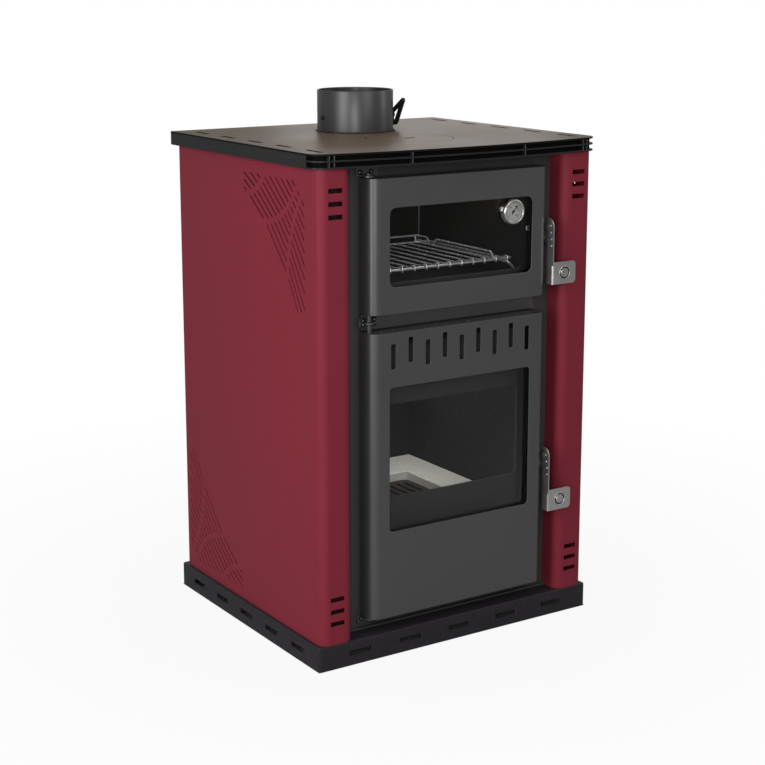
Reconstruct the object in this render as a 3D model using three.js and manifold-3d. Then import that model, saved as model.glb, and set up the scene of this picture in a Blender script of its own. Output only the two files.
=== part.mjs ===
// A free-standing wood-burning cooker stove: a fire chamber below, an oven above it, and a hot plate with
// a flue collar on top. Lengths are in millimetres. X runs to the right, -Y to the front and Z up, with the
// floor at zero and the origin at the middle of the footprint.

import * as THREE from "three";
import { mergeVertices } from "three/addons/utils/BufferGeometryUtils.js";
import Module from "manifold-3d";

const wasm = await Module();
wasm.setup();

// Shared clearances
const GAP = 0.3; // between pieces that rest on each other
const OVERRUN = 2; // how far a cutting solid runs past the face that it cuts
const PIN_CLEARANCE = 0.4; // around a pin in its hole
const SAME_POINT = 0.001; // points nearer than this are one

// Segment counts
const BEND_STEPS = 3;
const SMALL_BEND_STEPS = 2;
const SMALLEST_BEND_STEPS = 1;
const BOW_STEPS = 6;
const ROUND_SEGMENTS = 24;
const LARGE_ROUND_SEGMENTS = 36;
const ROD_SIDES = 6;
const PIN_SEGMENTS = 12;

// Body: the sizes that the others are taken from
const BODY_HALF_WIDTH = 264;
const BODY_BACK_Y = 236;
const BODY_HEIGHT = 753; // from the deck to the underside of the top's rim
const FRAME_FRONT_Y = -188;
const PLINTH_HEIGHT = 40;
const PANEL_SHEET = 1.5;
const PANEL_FLANGE = 12;
const TOP_RIM = 23;
const TOP_SHEET = 3;
const BODY_BOTTOM_Z = PLINTH_HEIGHT + GAP;
const RIM_BOTTOM_Z = PLINTH_HEIGHT + BODY_HEIGHT;
const TOP_Z = RIM_BOTTOM_Z + TOP_RIM;
const UNDER_SHEET_Z = TOP_Z - TOP_SHEET - GAP;
const UNDER_RIM_Z = RIM_BOTTOM_Z - GAP;

// Front pillars
const PILLAR_WIDTH = 59;
const PILLAR_DEPTH = 39; // forward of the front frame
const PILLAR_BEND = 16;
const PILLAR_SLOT_LENGTH = 25.5;
const PILLAR_SLOT_HEIGHT = 7.5;
const PILLAR_SLOT_PITCH = 20;
const PILLAR_TOP_SLOT_DROP = 53; // from the rim to the middle slot
const PILLAR_BOTTOM_SLOT_RISE = 55; // from the deck to the middle slot
const PILLAR_SLOTS = 3;
const PILLAR_FRONT_Y = FRAME_FRONT_Y - PILLAR_DEPTH;
const PILLAR_INNER_X = BODY_HALF_WIDTH - PILLAR_WIDTH;
const PILLAR_SIDE_Y = PILLAR_FRONT_Y + PILLAR_BEND;

// Plinth: a folded skirt with a deck and an inward foot flange
const PLINTH_SIDE_OVERHANG = 6;
const PLINTH_FRONT_OVERHANG = 1;
const PLINTH_BACK_OVERHANG = 15;
const PLINTH_CORNER = 6;
const PLINTH_SHEET = 3;
const PLINTH_FLANGE = 16;
const PLINTH_SLOT_LENGTH = 41;
const PLINTH_SLOT_HEIGHT = 7;
const PLINTH_FRONT_SLOT_MARGIN = 77; // from the plinth's side to the last slot's middle
const PLINTH_SIDE_SLOT_MARGIN = 67.5; // from its front or back to the last slot's middle
const PLINTH_SLOTS = 5;
const PLINTH_HALF_WIDTH = BODY_HALF_WIDTH + PLINTH_SIDE_OVERHANG;
const PLINTH_FRONT_Y = PILLAR_FRONT_Y - PLINTH_FRONT_OVERHANG;
const PLINTH_BACK_Y = BODY_BACK_Y + PLINTH_BACK_OVERHANG;

// Side vents: slots along concentric arcs, broken by three curved bands. The upper group's places are
// measured back from the panel's front edge and down from the rim.
const VENT_FIRST_RADIUS = 390.3;
const VENT_START_BACK = 11.2; // where the first arc would meet the panel's corner
const VENT_START_DOWN = 1.9;
const VENT_PITCH = 11.1;
const VENT_ARCS = 11;
const VENT_SLOT_WIDTH = 3;
const VENT_BAND = 9;
const VENT_SHORTEST = 4;
const VENT_SAMPLE_ANGLE = THREE.MathUtils.degToRad(0.1);
const VENT_FRONT_BACK = 27;
const VENT_REAR_BACK = 216;
const VENT_TOP_DOWN = 23;
const VENT_BOTTOM_DOWN = 225;
const REAR_BAND = { back: 220.6, down: -28.9, radius: 88.2 };
const MIDDLE_BAND = { back: 161.4, down: -32.3, radius: 129.4 };
const FRONT_BAND = { back: -169.4, down: 186.9, radius: 249.5 };
const VENT_ARC_CENTRE = {
  back: VENT_FIRST_RADIUS + VENT_START_BACK,
  down: VENT_FIRST_RADIUS + VENT_START_DOWN,
};
const LOWER_VENTS_BEHIND = 13; // the lower group is the upper one turned half round, from behind the panel
const LOWER_VENTS_BELOW = 5; // and from below the deck

// Back panel
const BACK_SLOT_LENGTH = 90;
const BACK_SLOT_HEIGHT = 6;
const BACK_SLOT_PITCH = 18;
const BACK_SLOT_SIDE_MARGIN = 124; // from the body's side to the last slot's middle
const BACK_SLOT_ROWS = 4;
const BACK_SLOT_COLUMNS = 3;
const BACK_SLOT_RISE = 70;
const BACK_SLOT_DROP = 63;

// Top plate
const TOP_SIDE_OVERHANG = 9;
const TOP_BACK_OVERHANG = 12;
const TOP_FRONT_OVERHANG = 24;
const TOP_BOW_RADIUS = 1600;
const TOP_CORNER = 26;
const TOP_RIM_SHEET = 3;
const TOP_SLOT_LENGTH = 45;
const TOP_SLOT_WIDTH = 6;
const TOP_SLOT_SIDE_INSET = 29;
const TOP_SLOT_FRONT_MARGIN = 69;
const TOP_SLOT_BACK_MARGIN = 62;
const TOP_SLOTS = 5;
const TOP_HALF_WIDTH = BODY_HALF_WIDTH + TOP_SIDE_OVERHANG;
const TOP_BACK_Y = BODY_BACK_Y + TOP_BACK_OVERHANG;
const TOP_APEX_Y = PILLAR_FRONT_Y - TOP_FRONT_OVERHANG;
const TOP_DEPTH = TOP_BACK_Y - TOP_APEX_Y;

// Front trim: two bowed fins and their posts, under the edge of the top sheet
const FIN_DEPTH = 9;
const FIN_THICKNESS = 2.6;
const FIN_MIDDLE_Z_DROP = 11.5; // from the top surface to the middle fin's centre
const TRIM_WALL = 2;
const POST_WIDTH = 3;
const POST_FRONT_INSET = 1.5;
const POST_SIDE_INSETS = [165, 34, 26]; // from the top's side to each post's middle

// Cooking lid
const LID_DEPTH_SHARE = 0.3467; // of the top's depth, from its front
const LID_RADIUS = 72;
const LID_CLEARANCE = 0.8;
const LID_SEAT_INNER_RADIUS = 62;
const LID_SEAT_OUTER_RADIUS = 82;
const LID_SEAT_THICKNESS = 4;
const LID_SLOT_LENGTH = 20;
const LID_SLOT_WIDTH = 7;
const LID_Y = TOP_APEX_Y + TOP_DEPTH * LID_DEPTH_SHARE;

// Flue collar
const COLLAR_DEPTH_SHARE = 0.6824;
const COLLAR_RADIUS = 65;
const COLLAR_WALL = 2.5;
const COLLAR_HEIGHT = 70; // above the top surface
const COLLAR_BEAD = 3;
const COLLAR_SKIRT = 9; // below the top surface
const COLLAR_Y = TOP_APEX_Y + TOP_DEPTH * COLLAR_DEPTH_SHARE;
const COLLAR_TOP_Z = TOP_Z + COLLAR_HEIGHT;

// Flue damper
const DAMPER_DROP = 46; // from the collar's mouth to the shaft
const DAMPER_CLEARANCE = 1.4;
const DAMPER_THICKNESS = 2;
const DAMPER_RIB_END = 20; // from the collar's outside to the rib's end
const DAMPER_RIB = 12;
const DAMPER_SHAFT_RADIUS = 3.5;
const DAMPER_SHAFT_END = 15; // past the collar on the right
const DAMPER_SHAFT_TAIL = 3; // past the collar on the left
const LEVER_INSET = 5.5; // from the shaft's right end
const LEVER_ROD = 2.5;
const LEVER_HUB_RADIUS = 6;
const LEVER_HUB_WIDTH = 6;
const LEVER_TIP = { y: -37.5, z: 28 };
const LEVER_HEEL = { y: -15.5, z: -14 };
const LEVER_ROOT = { y: -1.5, z: -15.5 };
const DAMPER_Z = COLLAR_TOP_Z - DAMPER_DROP;

// Front frame, whose openings are sized from the doors' windows
const FRAME_SHEET = 4;
const FRAME_SIDE_INSET = 20;
const FRAME_FOOT_DEPTH = 8;
const FRAME_FOOT_HEIGHT = 3;
const OPENING_CORNER = 8;
const OVEN_OPENING_SIDE = 12;
const OVEN_OPENING_BELOW = 1;
const OVEN_OPENING_ABOVE = 11;
const FIRE_OPENING_SIDE = 6;
const FIRE_OPENING_SILL = 42; // above the window's lower edge
const FIRE_OPENING_HEAD = 39; // below the window's upper edge
const FRAME_HALF_WIDTH = BODY_HALF_WIDTH - FRAME_SIDE_INSET;
const FRAME_BACK_Y = FRAME_FRONT_Y + FRAME_SHEET;
const BEHIND_FRAME_Y = FRAME_BACK_Y + GAP;
const BEFORE_FRAME_Y = FRAME_FRONT_Y - GAP;

// Doors
const DOOR_TO_PILLAR = 34;
const DOOR_TO_FRAME = 4; // the room for the rope seal and the inner frame
const DOOR_DEPTH = 37;
const DOOR_BEND = 16;
const DOOR_SHEET = 2;
const WINDOW_SIDE = 33; // from the door's side to its window
const GLASS_OVERLAP = 9;
const GLASS_THICKNESS = 4;
const GASKET_THICKNESS = 1.5;
const GASKET_WIDTH = 7;
const RETAINER_THICKNESS = 2;
const INNER_FRAME_THICKNESS = 2;
const INNER_FRAME_BORDER = 26;
const ROPE_WIDTH = 10;
const ROPE_INSET = 11; // from the door's edge to the rope's
const DOOR_HALF_WIDTH = PILLAR_INNER_X - DOOR_TO_PILLAR;
const DOOR_REAR_Y = FRAME_FRONT_Y - DOOR_TO_FRAME;
const DOOR_FRONT_Y = DOOR_REAR_Y - DOOR_DEPTH;
const WINDOW_HALF_WIDTH = DOOR_HALF_WIDTH - WINDOW_SIDE;

// Middle rail
const RAIL_DROP = 232; // from the rim
const RAIL_SPACE = 28; // between the doors
const RAIL_SIDE_INSET = 2;
const RAIL_THICKNESS = 7;
const RAIL_TOP_Z = RIM_BOTTOM_Z - RAIL_DROP;
const RAIL_BOTTOM_Z = RAIL_TOP_Z - RAIL_SPACE;
const RAIL_HALF_WIDTH = DOOR_HALF_WIDTH - RAIL_SIDE_INSET;

// Oven door
const OVEN_DOOR_TOP_DROP = 20; // from the rim
const OVEN_WINDOW_RISE = 41.7;
const OVEN_WINDOW_DROP = 46;
const OVEN_WINDOW_CORNER = 11;
const OVEN_DOOR_BOTTOM_Z = RAIL_TOP_Z + GAP;
const OVEN_DOOR_TOP_Z = RIM_BOTTOM_Z - OVEN_DOOR_TOP_DROP;
const OVEN_DOOR = {
  bottom: OVEN_DOOR_BOTTOM_Z,
  top: OVEN_DOOR_TOP_Z,
  windowBottom: OVEN_DOOR_BOTTOM_Z + OVEN_WINDOW_RISE,
  windowTop: OVEN_DOOR_TOP_Z - OVEN_WINDOW_DROP,
  windowCorner: OVEN_WINDOW_CORNER,
};

// Fire door
const FIRE_DOOR_RISE = 25; // from the deck
const FIRE_DOOR_TO_RAIL = 1;
const FIRE_WINDOW_RISE = 143;
const FIRE_WINDOW_DROP = 88;
const FIRE_WINDOW_CORNER = 7;
const AIR_SLOTS = 9;
const AIR_SLOT_WIDTH = 8;
const AIR_SLOT_HEIGHT = 40;
const AIR_SLOT_SIDE_MARGIN = 39.8; // from the door's side to the last slot's middle
const AIR_SLOT_DROP = 58.5; // from the door's top to the lower slots' feet
const AIR_SLOT_STEP = 8;
const CAP_HOLES = 15;
const CAP_HOLE_RADIUS = 3;
const CAP_HOLE_SIDE_MARGIN = 27.5;
const CAP_HOLE_FRONT_INSET = 15;
const FIRE_DOOR_BOTTOM_Z = PLINTH_HEIGHT + FIRE_DOOR_RISE;
const FIRE_DOOR_TOP_Z = RAIL_BOTTOM_Z - FIRE_DOOR_TO_RAIL;
const FIRE_DOOR = {
  bottom: FIRE_DOOR_BOTTOM_Z,
  top: FIRE_DOOR_TOP_Z,
  windowBottom: FIRE_DOOR_BOTTOM_Z + FIRE_WINDOW_RISE,
  windowTop: FIRE_DOOR_TOP_Z - FIRE_WINDOW_DROP,
  windowCorner: FIRE_WINDOW_CORNER,
};

// Inner casing
const CASING_SIDE_INSET = 64;
const CASING_BACK_INSET = 46;
const CASING_SHEET = 4;
const CASING_FLOOR_RISE = 22; // from the deck to the top of the casing's floor
const CASING_HALF_WIDTH = BODY_HALF_WIDTH - CASING_SIDE_INSET;
const CASING_BACK_Y = BODY_BACK_Y - CASING_BACK_INSET;
const CASING_FLOOR_Z = PLINTH_HEIGHT + CASING_FLOOR_RISE;
const CASING_INNER_HALF_WIDTH = CASING_HALF_WIDTH - CASING_SHEET;
const CASING_INNER_BACK_Y = CASING_BACK_Y - CASING_SHEET;

// Hearth, bricks and bed
const HEARTH_RISE = 98; // from the casing's floor
const HEARTH_THICKNESS = 5;
const BRICK_SIDE_INSET = 53; // from the casing's side to the brick's inner face
const BRICK_BACK_INSET = 51;
const BRICK_OVER_RAIL = 22; // the bricks end this far above the rail's underside
const BED_THICKNESS = 44;
const WELL_WIDTH_SHARE = 0.55; // of the bed's width
const WELL_FRONT_INSET = 103; // from the front frame
const WELL_BACK_INSET = 91; // from the back brick
const WELL_CORNER = 12;
const WELL_LEDGE = 9;
const GRATE_DROP = 14; // from the bed to the grate
const GRATE_THICKNESS = 10;
const GRATE_SLOTS = 9;
const GRATE_SLOT_WIDTH = 7;
const GRATE_SLOT_MARGIN = 16;
const BAFFLE_THICKNESS = 5;
const BAFFLE_BACK_GAP = 69; // the smoke rises behind the baffle
const HEARTH_TOP_Z = CASING_FLOOR_Z + HEARTH_RISE;
const BRICK_INNER_HALF_WIDTH = CASING_HALF_WIDTH - BRICK_SIDE_INSET;
const BRICK_BACK_Y = CASING_BACK_Y - BRICK_BACK_INSET;
const BRICK_TOP_Z = RAIL_BOTTOM_Z + BRICK_OVER_RAIL;
const BED_TOP_Z = HEARTH_TOP_Z + BED_THICKNESS;
const WELL_HALF_WIDTH = BRICK_INNER_HALF_WIDTH * WELL_WIDTH_SHARE;
const WELL_FRONT_Y = FRAME_FRONT_Y + WELL_FRONT_INSET;
const WELL_BACK_Y = BRICK_BACK_Y - WELL_BACK_INSET;

// Ash drawer
const ASH_OPENING_SIDE_INSET = 87; // from the casing's side
const ASH_OPENING_CLEARANCE = 3;
const DRAWER_SIDE_CLEARANCE = 5;
const DRAWER_BACK_INSET = 100; // from the casing's back
const DRAWER_HEIGHT = 78;
const DRAWER_SHEET = 2;
const DRAWER_PULL_WIDTH = 90;
const DRAWER_PULL_DEPTH = 4;
const DRAWER_PULL_THICKNESS = 3;
const DRAWER_PULL_DROP = 14;
const ASH_OPENING_HALF_WIDTH = CASING_HALF_WIDTH - ASH_OPENING_SIDE_INSET;
const DRAWER_HALF_WIDTH = ASH_OPENING_HALF_WIDTH - DRAWER_SIDE_CLEARANCE;

// Oven
const OVEN_SIDE_INSET = 44; // from the casing's side
const OVEN_BACK_INSET = 68; // from the casing's back
const OVEN_FLOOR_OVER_RAIL = 24;
const OVEN_CEILING_DROP = 8; // from the door's top
const OVEN_SHEET = 3;
const OVEN_HALF_WIDTH = CASING_HALF_WIDTH - OVEN_SIDE_INSET;
const OVEN_BACK_Y = CASING_BACK_Y - OVEN_BACK_INSET;
const OVEN_FLOOR_Z = RAIL_TOP_Z + OVEN_FLOOR_OVER_RAIL;
const OVEN_CEILING_Z = OVEN_DOOR_TOP_Z - OVEN_CEILING_DROP;

// Oven rack and its runners
const RACK_RISE = 30; // from the oven's floor
const RACK_FRONT_INSET = 28; // from the front frame
const RACK_BACK_INSET = 52; // from the oven's back
const RACK_SIDE_CLEARANCE = 16.2;
const RACK_WIRE = 1.8;
const RACK_FRONT_WIRE = 2.5;
const RACK_WIRES_EACH_SIDE = 6;
const RACK_RIM_WIRE = 5; // the raised rim stands over this wire, counted from the middle
const RACK_RIM_HEIGHT = 12;
const RACK_DIP_INSET = 44; // from the rack's back
const RACK_DIP_HALF = 9;
const RUNNER_ROD = 2.5;
const RUNNER_FRONT_INSET = 23;
const RUNNER_BACK_INSET = 10;
const RUNNER_FRONT_DROP = 14;
const RACK_Z = OVEN_FLOOR_Z + RACK_RISE;
const RACK_FRONT_Y = FRAME_FRONT_Y + RACK_FRONT_INSET;
const RACK_BACK_Y = OVEN_BACK_Y - RACK_BACK_INSET;
const RACK_HALF_WIDTH = OVEN_HALF_WIDTH - RACK_SIDE_CLEARANCE;
const RACK_PITCH = RACK_HALF_WIDTH / RACK_WIRES_EACH_SIDE;

// Hinges
const HINGE_SIDE_INSET = 9; // from the door's side
const HINGE_DEPTH = 14; // forward of the door's rear edge
const HINGE_PIN_RADIUS = 4;
const HINGE_PIN_HEAD_RADIUS = 5;
const HINGE_PIN_HEAD = 2.5;
const HINGE_PIN_BITE = 12; // how far a pin reaches into its door
const BRACKET_SHEET = 3;
const BRACKET_HALF_WIDTH = 20;
const BRACKET_HEIGHT = 13;
const BRACKET_SHIFT = 6; // from the hinge to the bracket's middle
const TAB_RADIUS = 9;
const TAB_GAP = 1.2; // between a tab and the door that it carries
const RIVET_RADIUS = 4;
const RIVET_HEAD = 1.5;
const RIVET_SPREAD = 9;
const HINGE_X = HINGE_SIDE_INSET - DOOR_HALF_WIDTH;
const HINGE_Y = DOOR_REAR_Y - HINGE_DEPTH;
const BRACKET_X = HINGE_X + BRACKET_SHIFT;

// Handles
const HANDLE_TO_DOOR = 1.8;
const HANDLE_PROUD = 12; // of the door's front
const HANDLE_SHEET = 2;
const HANDLE_STRIP_WIDTH = 22;
const HANDLE_STRIP_HEIGHT = 73;
const HANDLE_STRIP_ROUND = 16;
const HANDLE_PLATE_WIDTH = 46;
const HANDLE_PLATE_HEIGHT = 37;
const HANDLE_PLATE_CORNER = 5;
const HANDLE_BOSS_RADIUS = 11;
const HANDLE_BOSS = 1;
const HANDLE_NOSE_DROP = 39; // from the strip's top to the nose's
const HANDLE_NOSE_HEIGHT = 10;
const HANDLE_NOSE_END = 1; // forward of the door's rear edge
const HANDLE_PIN_INSET = 6; // from the door's front
const HANDLE_PIN_DROP = 16; // from the strip's top to the pin
const HANDLE_PIN_RADIUS = 3.5;
const HANDLE_PIN_HEAD_RADIUS = 6;
const HANDLE_PIN_HEAD = 2;
const OVEN_HANDLE_DROP = 84; // from the door's top to the strip's
const FIRE_HANDLE_DROP = 231;
const STRIKE_SHEET = 2;
const STRIKE_WIDTH = 15;
const STRIKE_HEIGHT = 20;
const STRIKE_REACH = 13;
const STRIKE_CLEARANCE = 1;
const HANDLE_X = DOOR_HALF_WIDTH + HANDLE_TO_DOOR;
const HANDLE_FRONT_Y = DOOR_FRONT_Y - HANDLE_PROUD;
const HANDLE_PIN_Y = DOOR_FRONT_Y + HANDLE_PIN_INSET;
const OVEN_HANDLE_TOP_Z = OVEN_DOOR_TOP_Z - OVEN_HANDLE_DROP;
const FIRE_HANDLE_TOP_Z = FIRE_DOOR_TOP_Z - FIRE_HANDLE_DROP;

// Oven thermometer
const THERMOMETER_SIDE = 41.5; // from the window's right edge
const THERMOMETER_DROP = 22; // from the window's upper edge
const THERMOMETER_PROUD = 8; // of the door's front
const THERMOMETER_RADIUS = 20.5;
const THERMOMETER_WALL = 1.5;
const THERMOMETER_BEZEL = 1.2;
const BEZEL_WIDTH = 2.8;
const LENS_THICKNESS = 0.8;
const DIAL_DROP = 2.6; // from the lens to the dial
const DIAL_THICKNESS = 0.8;
const NEEDLE_LENGTH = 12;
const NEEDLE_TAIL = 5;
const NEEDLE_WIDTH = 1.2;
const NEEDLE_THICKNESS = 0.5;
const NEEDLE_HUB_RADIUS = 1.6;
const NEEDLE_HUB_DEPTH = 3;
const NEEDLE_ANGLE = THREE.MathUtils.degToRad(40); // from upright, to the right
const STEM_RADIUS = 4;
const STEM_END = 8; // forward of the door's rear edge
const THERMOMETER_X = WINDOW_HALF_WIDTH - THERMOMETER_SIDE;
const THERMOMETER_Z = OVEN_DOOR.windowTop - THERMOMETER_DROP;
const THERMOMETER_FRONT_Y = DOOR_FRONT_Y - THERMOMETER_PROUD;

// Solids from geometries and back

function solidOf(geometry) {
  const bare = geometry.index ? geometry.toNonIndexed() : geometry.clone();
  bare.deleteAttribute("normal");
  bare.deleteAttribute("uv");
  const welded = mergeVertices(bare);
  const vertProperties = welded.attributes.position.array;
  const triVerts = new Uint32Array(welded.index.array);
  return new wasm.Manifold(new wasm.Mesh({ numProp: 3, vertProperties, triVerts }));
}

function geometryOf(solid) {
  const mesh = solid.getMesh();
  const geometry = new THREE.BufferGeometry();
  geometry.setAttribute("position", new THREE.BufferAttribute(mesh.vertProperties, 3));
  geometry.setIndex(new THREE.BufferAttribute(mesh.triVerts, 1));
  return geometry;
}

function joined(...geometries) {
  return geometryOf(geometries.map(solidOf).reduce((whole, next) => whole.add(next)));
}

function cut(geometry, ...cutters) {
  return geometryOf(cutters.map(solidOf).reduce((left, next) => left.subtract(next), solidOf(geometry)));
}

function common(first, second) {
  return geometryOf(solidOf(first).intersect(solidOf(second)));
}

function mirroredInX(geometry) {
  const copy = geometry.clone();
  copy.scale(-1, 1, 1);
  const corners = copy.index.array;
  for (let i = 0; i < corners.length; i += 3) {
    [corners[i + 1], corners[i + 2]] = [corners[i + 2], corners[i + 1]];
  }
  return copy;
}

// Basic forms, each given by its limits along the axes

function block([x0, x1], [y0, y1], [z0, z1]) {
  const box = new THREE.BoxGeometry(x1 - x0, y1 - y0, z1 - z0);
  return box.translate((x0 + x1) / 2, (y0 + y1) / 2, (z0 + z1) / 2);
}

// An outline's points, without those where an arc starts at the end of the line before it
function withoutRepeats(points) {
  return points.filter((p, i) => p.distanceTo(points.at(i - 1)) > SAME_POINT);
}

function prism(shape, depth, curveSegments) {
  const drawn = shape.extractPoints(curveSegments);
  const outline = new THREE.Shape(withoutRepeats(drawn.shape));
  outline.holes = drawn.holes.map((hole) => new THREE.Path(withoutRepeats(hole)));
  return new THREE.ExtrudeGeometry(outline, { depth, bevelEnabled: false });
}

// The shape is drawn in Y and Z.
function alongX(shape, [x0, x1], curveSegments = BEND_STEPS) {
  const turn = new THREE.Matrix4().set(0, 0, 1, 0, 1, 0, 0, 0, 0, 1, 0, 0, 0, 0, 0, 1);
  return prism(shape, x1 - x0, curveSegments).applyMatrix4(turn).translate(x0, 0, 0);
}

// The shape is drawn in X and Z.
function alongY(shape, [y0, y1], curveSegments = BEND_STEPS) {
  return prism(shape, y1 - y0, curveSegments).rotateX(Math.PI / 2).translate(0, y1, 0);
}

// The shape is drawn in X and Y.
function alongZ(shape, [z0, z1], curveSegments = BEND_STEPS) {
  return prism(shape, z1 - z0, curveSegments).translate(0, 0, z0);
}

function rectangle([u0, u1], [v0, v1], radius = 0) {
  const shape = new THREE.Shape();
  if (radius === 0) {
    shape.moveTo(u0, v0).lineTo(u1, v0).lineTo(u1, v1).lineTo(u0, v1);
    return shape;
  }
  const right = 0;
  const up = Math.PI / 2;
  const left = Math.PI;
  shape.moveTo(u0 + radius, v0).lineTo(u1 - radius, v0);
  shape.absarc(u1 - radius, v0 + radius, radius, -up, right);
  shape.lineTo(u1, v1 - radius).absarc(u1 - radius, v1 - radius, radius, right, up);
  shape.lineTo(u0 + radius, v1).absarc(u0 + radius, v1 - radius, radius, up, left);
  shape.lineTo(u0, v0 + radius).absarc(u0 + radius, v0 + radius, radius, left, left + up);
  return shape;
}

function ring([u0, u1], [v0, v1], width, radius = 0) {
  const shape = rectangle([u0, u1], [v0, v1], radius);
  const innerRadius = Math.max(radius - width, 0);
  shape.holes.push(rectangle([u0 + width, u1 - width], [v0 + width, v1 - width], innerRadius));
  return shape;
}

function symmetric(half) {
  return [-half, half];
}

function around(middle, length) {
  return [middle - length / 2, middle + length / 2];
}

function widened([low, high], margin) {
  return [low - margin, high + margin];
}

// Evenly spaced places about a middle
function row(count, pitch, middle = 0) {
  return Array.from({ length: count }, (_, i) => middle + (i - (count - 1) / 2) * pitch);
}

// Evenly spaced places from one limit to the other
function spread(count, [low, high]) {
  return row(count, (high - low) / (count - 1), (low + high) / 2);
}

function pinAlongX(y, z, radius, [x0, x1], segments = PIN_SEGMENTS) {
  return new THREE.CylinderGeometry(radius, radius, x1 - x0, segments)
    .rotateZ(Math.PI / 2)
    .translate((x0 + x1) / 2, y, z);
}

function pinAlongY(x, z, radius, [y0, y1], segments = PIN_SEGMENTS) {
  return new THREE.CylinderGeometry(radius, radius, y1 - y0, segments).translate(x, (y0 + y1) / 2, z);
}

function pinAlongZ(x, y, radius, [z0, z1], segments = PIN_SEGMENTS) {
  return new THREE.CylinderGeometry(radius, radius, z1 - z0, segments)
    .rotateX(Math.PI / 2)
    .translate(x, y, (z0 + z1) / 2);
}

// A straight rod between two points, run on by half its radius at each end so that rods join at corners.
function rod(from, to, radius) {
  const way = to.clone().sub(from);
  const length = way.length() + radius;
  const turn = new THREE.Quaternion().setFromUnitVectors(new THREE.Vector3(0, 1, 0), way.normalize());
  const middle = from.clone().add(to).multiplyScalar(1 / 2);
  return new THREE.CylinderGeometry(radius, radius, length, ROD_SIDES)
    .applyQuaternion(turn)
    .translate(middle.x, middle.y, middle.z);
}

function bentRod(points, radius) {
  return points.slice(1).map((point, i) => rod(points[i], point, radius));
}

function point(x, y, z) {
  return new THREE.Vector3(x, y, z);
}

// Finishes

function finish(color, roughness, metalness) {
  return { color, roughness, metalness };
}

const RED_PAINT = finish(0x7c2637, 0.42, 0.1);
const BLACK_PAINT = finish(0x2c2c30, 0.55, 0.2);
const DOOR_PAINT = finish(0x3e3e3f, 0.55, 0.2);
const TOP_PAINT = finish(0x6b635c, 0.35, 0.3);
const STEEL = finish(0xa9abad, 0.3, 0.9);
const WIRE = finish(0xc9cacb, 0.2, 1);
const CAST_IRON = finish(0x2a2927, 0.75, 0.3);
const REFRACTORY = finish(0xb5b2a3, 0.9, 0);
const BRICK = finish(0x4b443c, 0.95, 0);
const ROPE = finish(0x55534e, 0.95, 0);
const GLASS = { ...finish(0xdfe6e6, 0.05, 0), transparent: true, opacity: 0.3 };
const DIAL_WHITE = finish(0xe6e6e2, 0.5, 0);
const NEEDLE_BLACK = finish(0x17181a, 0.5, 0);

function piece(name, geometry, look) {
  geometry.computeVertexNormals();
  const mesh = new THREE.Mesh(geometry, new THREE.MeshStandardMaterial(look));
  mesh.name = name;
  return mesh;
}

function plinth() {
  const width = symmetric(PLINTH_HALF_WIDTH);
  const depth = [PLINTH_FRONT_Y, PLINTH_BACK_Y];
  const outer = alongZ(rectangle(width, depth, PLINTH_CORNER), [0, PLINTH_HEIGHT], SMALLEST_BEND_STEPS);
  const innerWidth = widened(width, -PLINTH_SHEET);
  const innerDepth = widened(depth, -PLINTH_SHEET);
  const hollow = block(innerWidth, innerDepth, [PLINTH_SHEET, PLINTH_HEIGHT - PLINTH_SHEET]);
  const mouth = block(
    widened(width, -PLINTH_FLANGE),
    widened(depth, -PLINTH_FLANGE),
    [-OVERRUN, PLINTH_SHEET + OVERRUN],
  );
  const slotHeight = around(PLINTH_HEIGHT / 2, PLINTH_SLOT_HEIGHT);
  const slotXs = spread(PLINTH_SLOTS, widened(width, -PLINTH_FRONT_SLOT_MARGIN));
  const slotYs = spread(PLINTH_SLOTS, widened(depth, -PLINTH_SIDE_SLOT_MARGIN));
  const slotsThroughDepth = slotXs.map((x) =>
    block(around(x, PLINTH_SLOT_LENGTH), widened(depth, OVERRUN), slotHeight),
  );
  const slotsThroughWidth = slotYs.map((y) =>
    block(widened(width, OVERRUN), around(y, PLINTH_SLOT_LENGTH), slotHeight),
  );
  return piece("plinth", cut(outer, hollow, mouth, ...slotsThroughDepth, ...slotsThroughWidth), BLACK_PAINT);
}

function inVentArea({ back, down }) {
  const inWindow =
    back >= VENT_FRONT_BACK && back <= VENT_REAR_BACK && down >= VENT_TOP_DOWN && down <= VENT_BOTTOM_DOWN;
  const offBands = [REAR_BAND, MIDDLE_BAND, FRONT_BAND].every((band) => {
    const reach = Math.hypot(back - band.back, down - band.down);
    return Math.abs(reach - band.radius) >= VENT_BAND / 2;
  });
  return inWindow && offBands;
}

// The upper group's slots as straight chords, each given by its two ends
function ventChords() {
  const chords = [];
  for (let arc = 0; arc < VENT_ARCS; arc += 1) {
    const radius = VENT_FIRST_RADIUS + arc * VENT_PITCH;
    let run = [];
    for (let angle = Math.PI / 2; angle <= Math.PI; angle += VENT_SAMPLE_ANGLE) {
      const place = {
        back: VENT_ARC_CENTRE.back + radius * Math.cos(angle),
        down: VENT_ARC_CENTRE.down - radius * Math.sin(angle),
      };
      if (inVentArea(place)) {
        run.push(place);
      } else if (run.length > 0) {
        chords.push([run[0], run[run.length - 1]]);
        run = [];
      }
    }
  }
  return chords.filter(([a, b]) => Math.hypot(a.back - b.back, a.down - b.down) >= VENT_SHORTEST);
}

function upperVentPoint({ back, down }) {
  return [PILLAR_SIDE_Y + back, RIM_BOTTOM_Z - down];
}

function lowerVentPoint({ back, down }) {
  return [BODY_BACK_Y + LOWER_VENTS_BEHIND - back, PLINTH_HEIGHT - LOWER_VENTS_BELOW + down];
}

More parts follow.
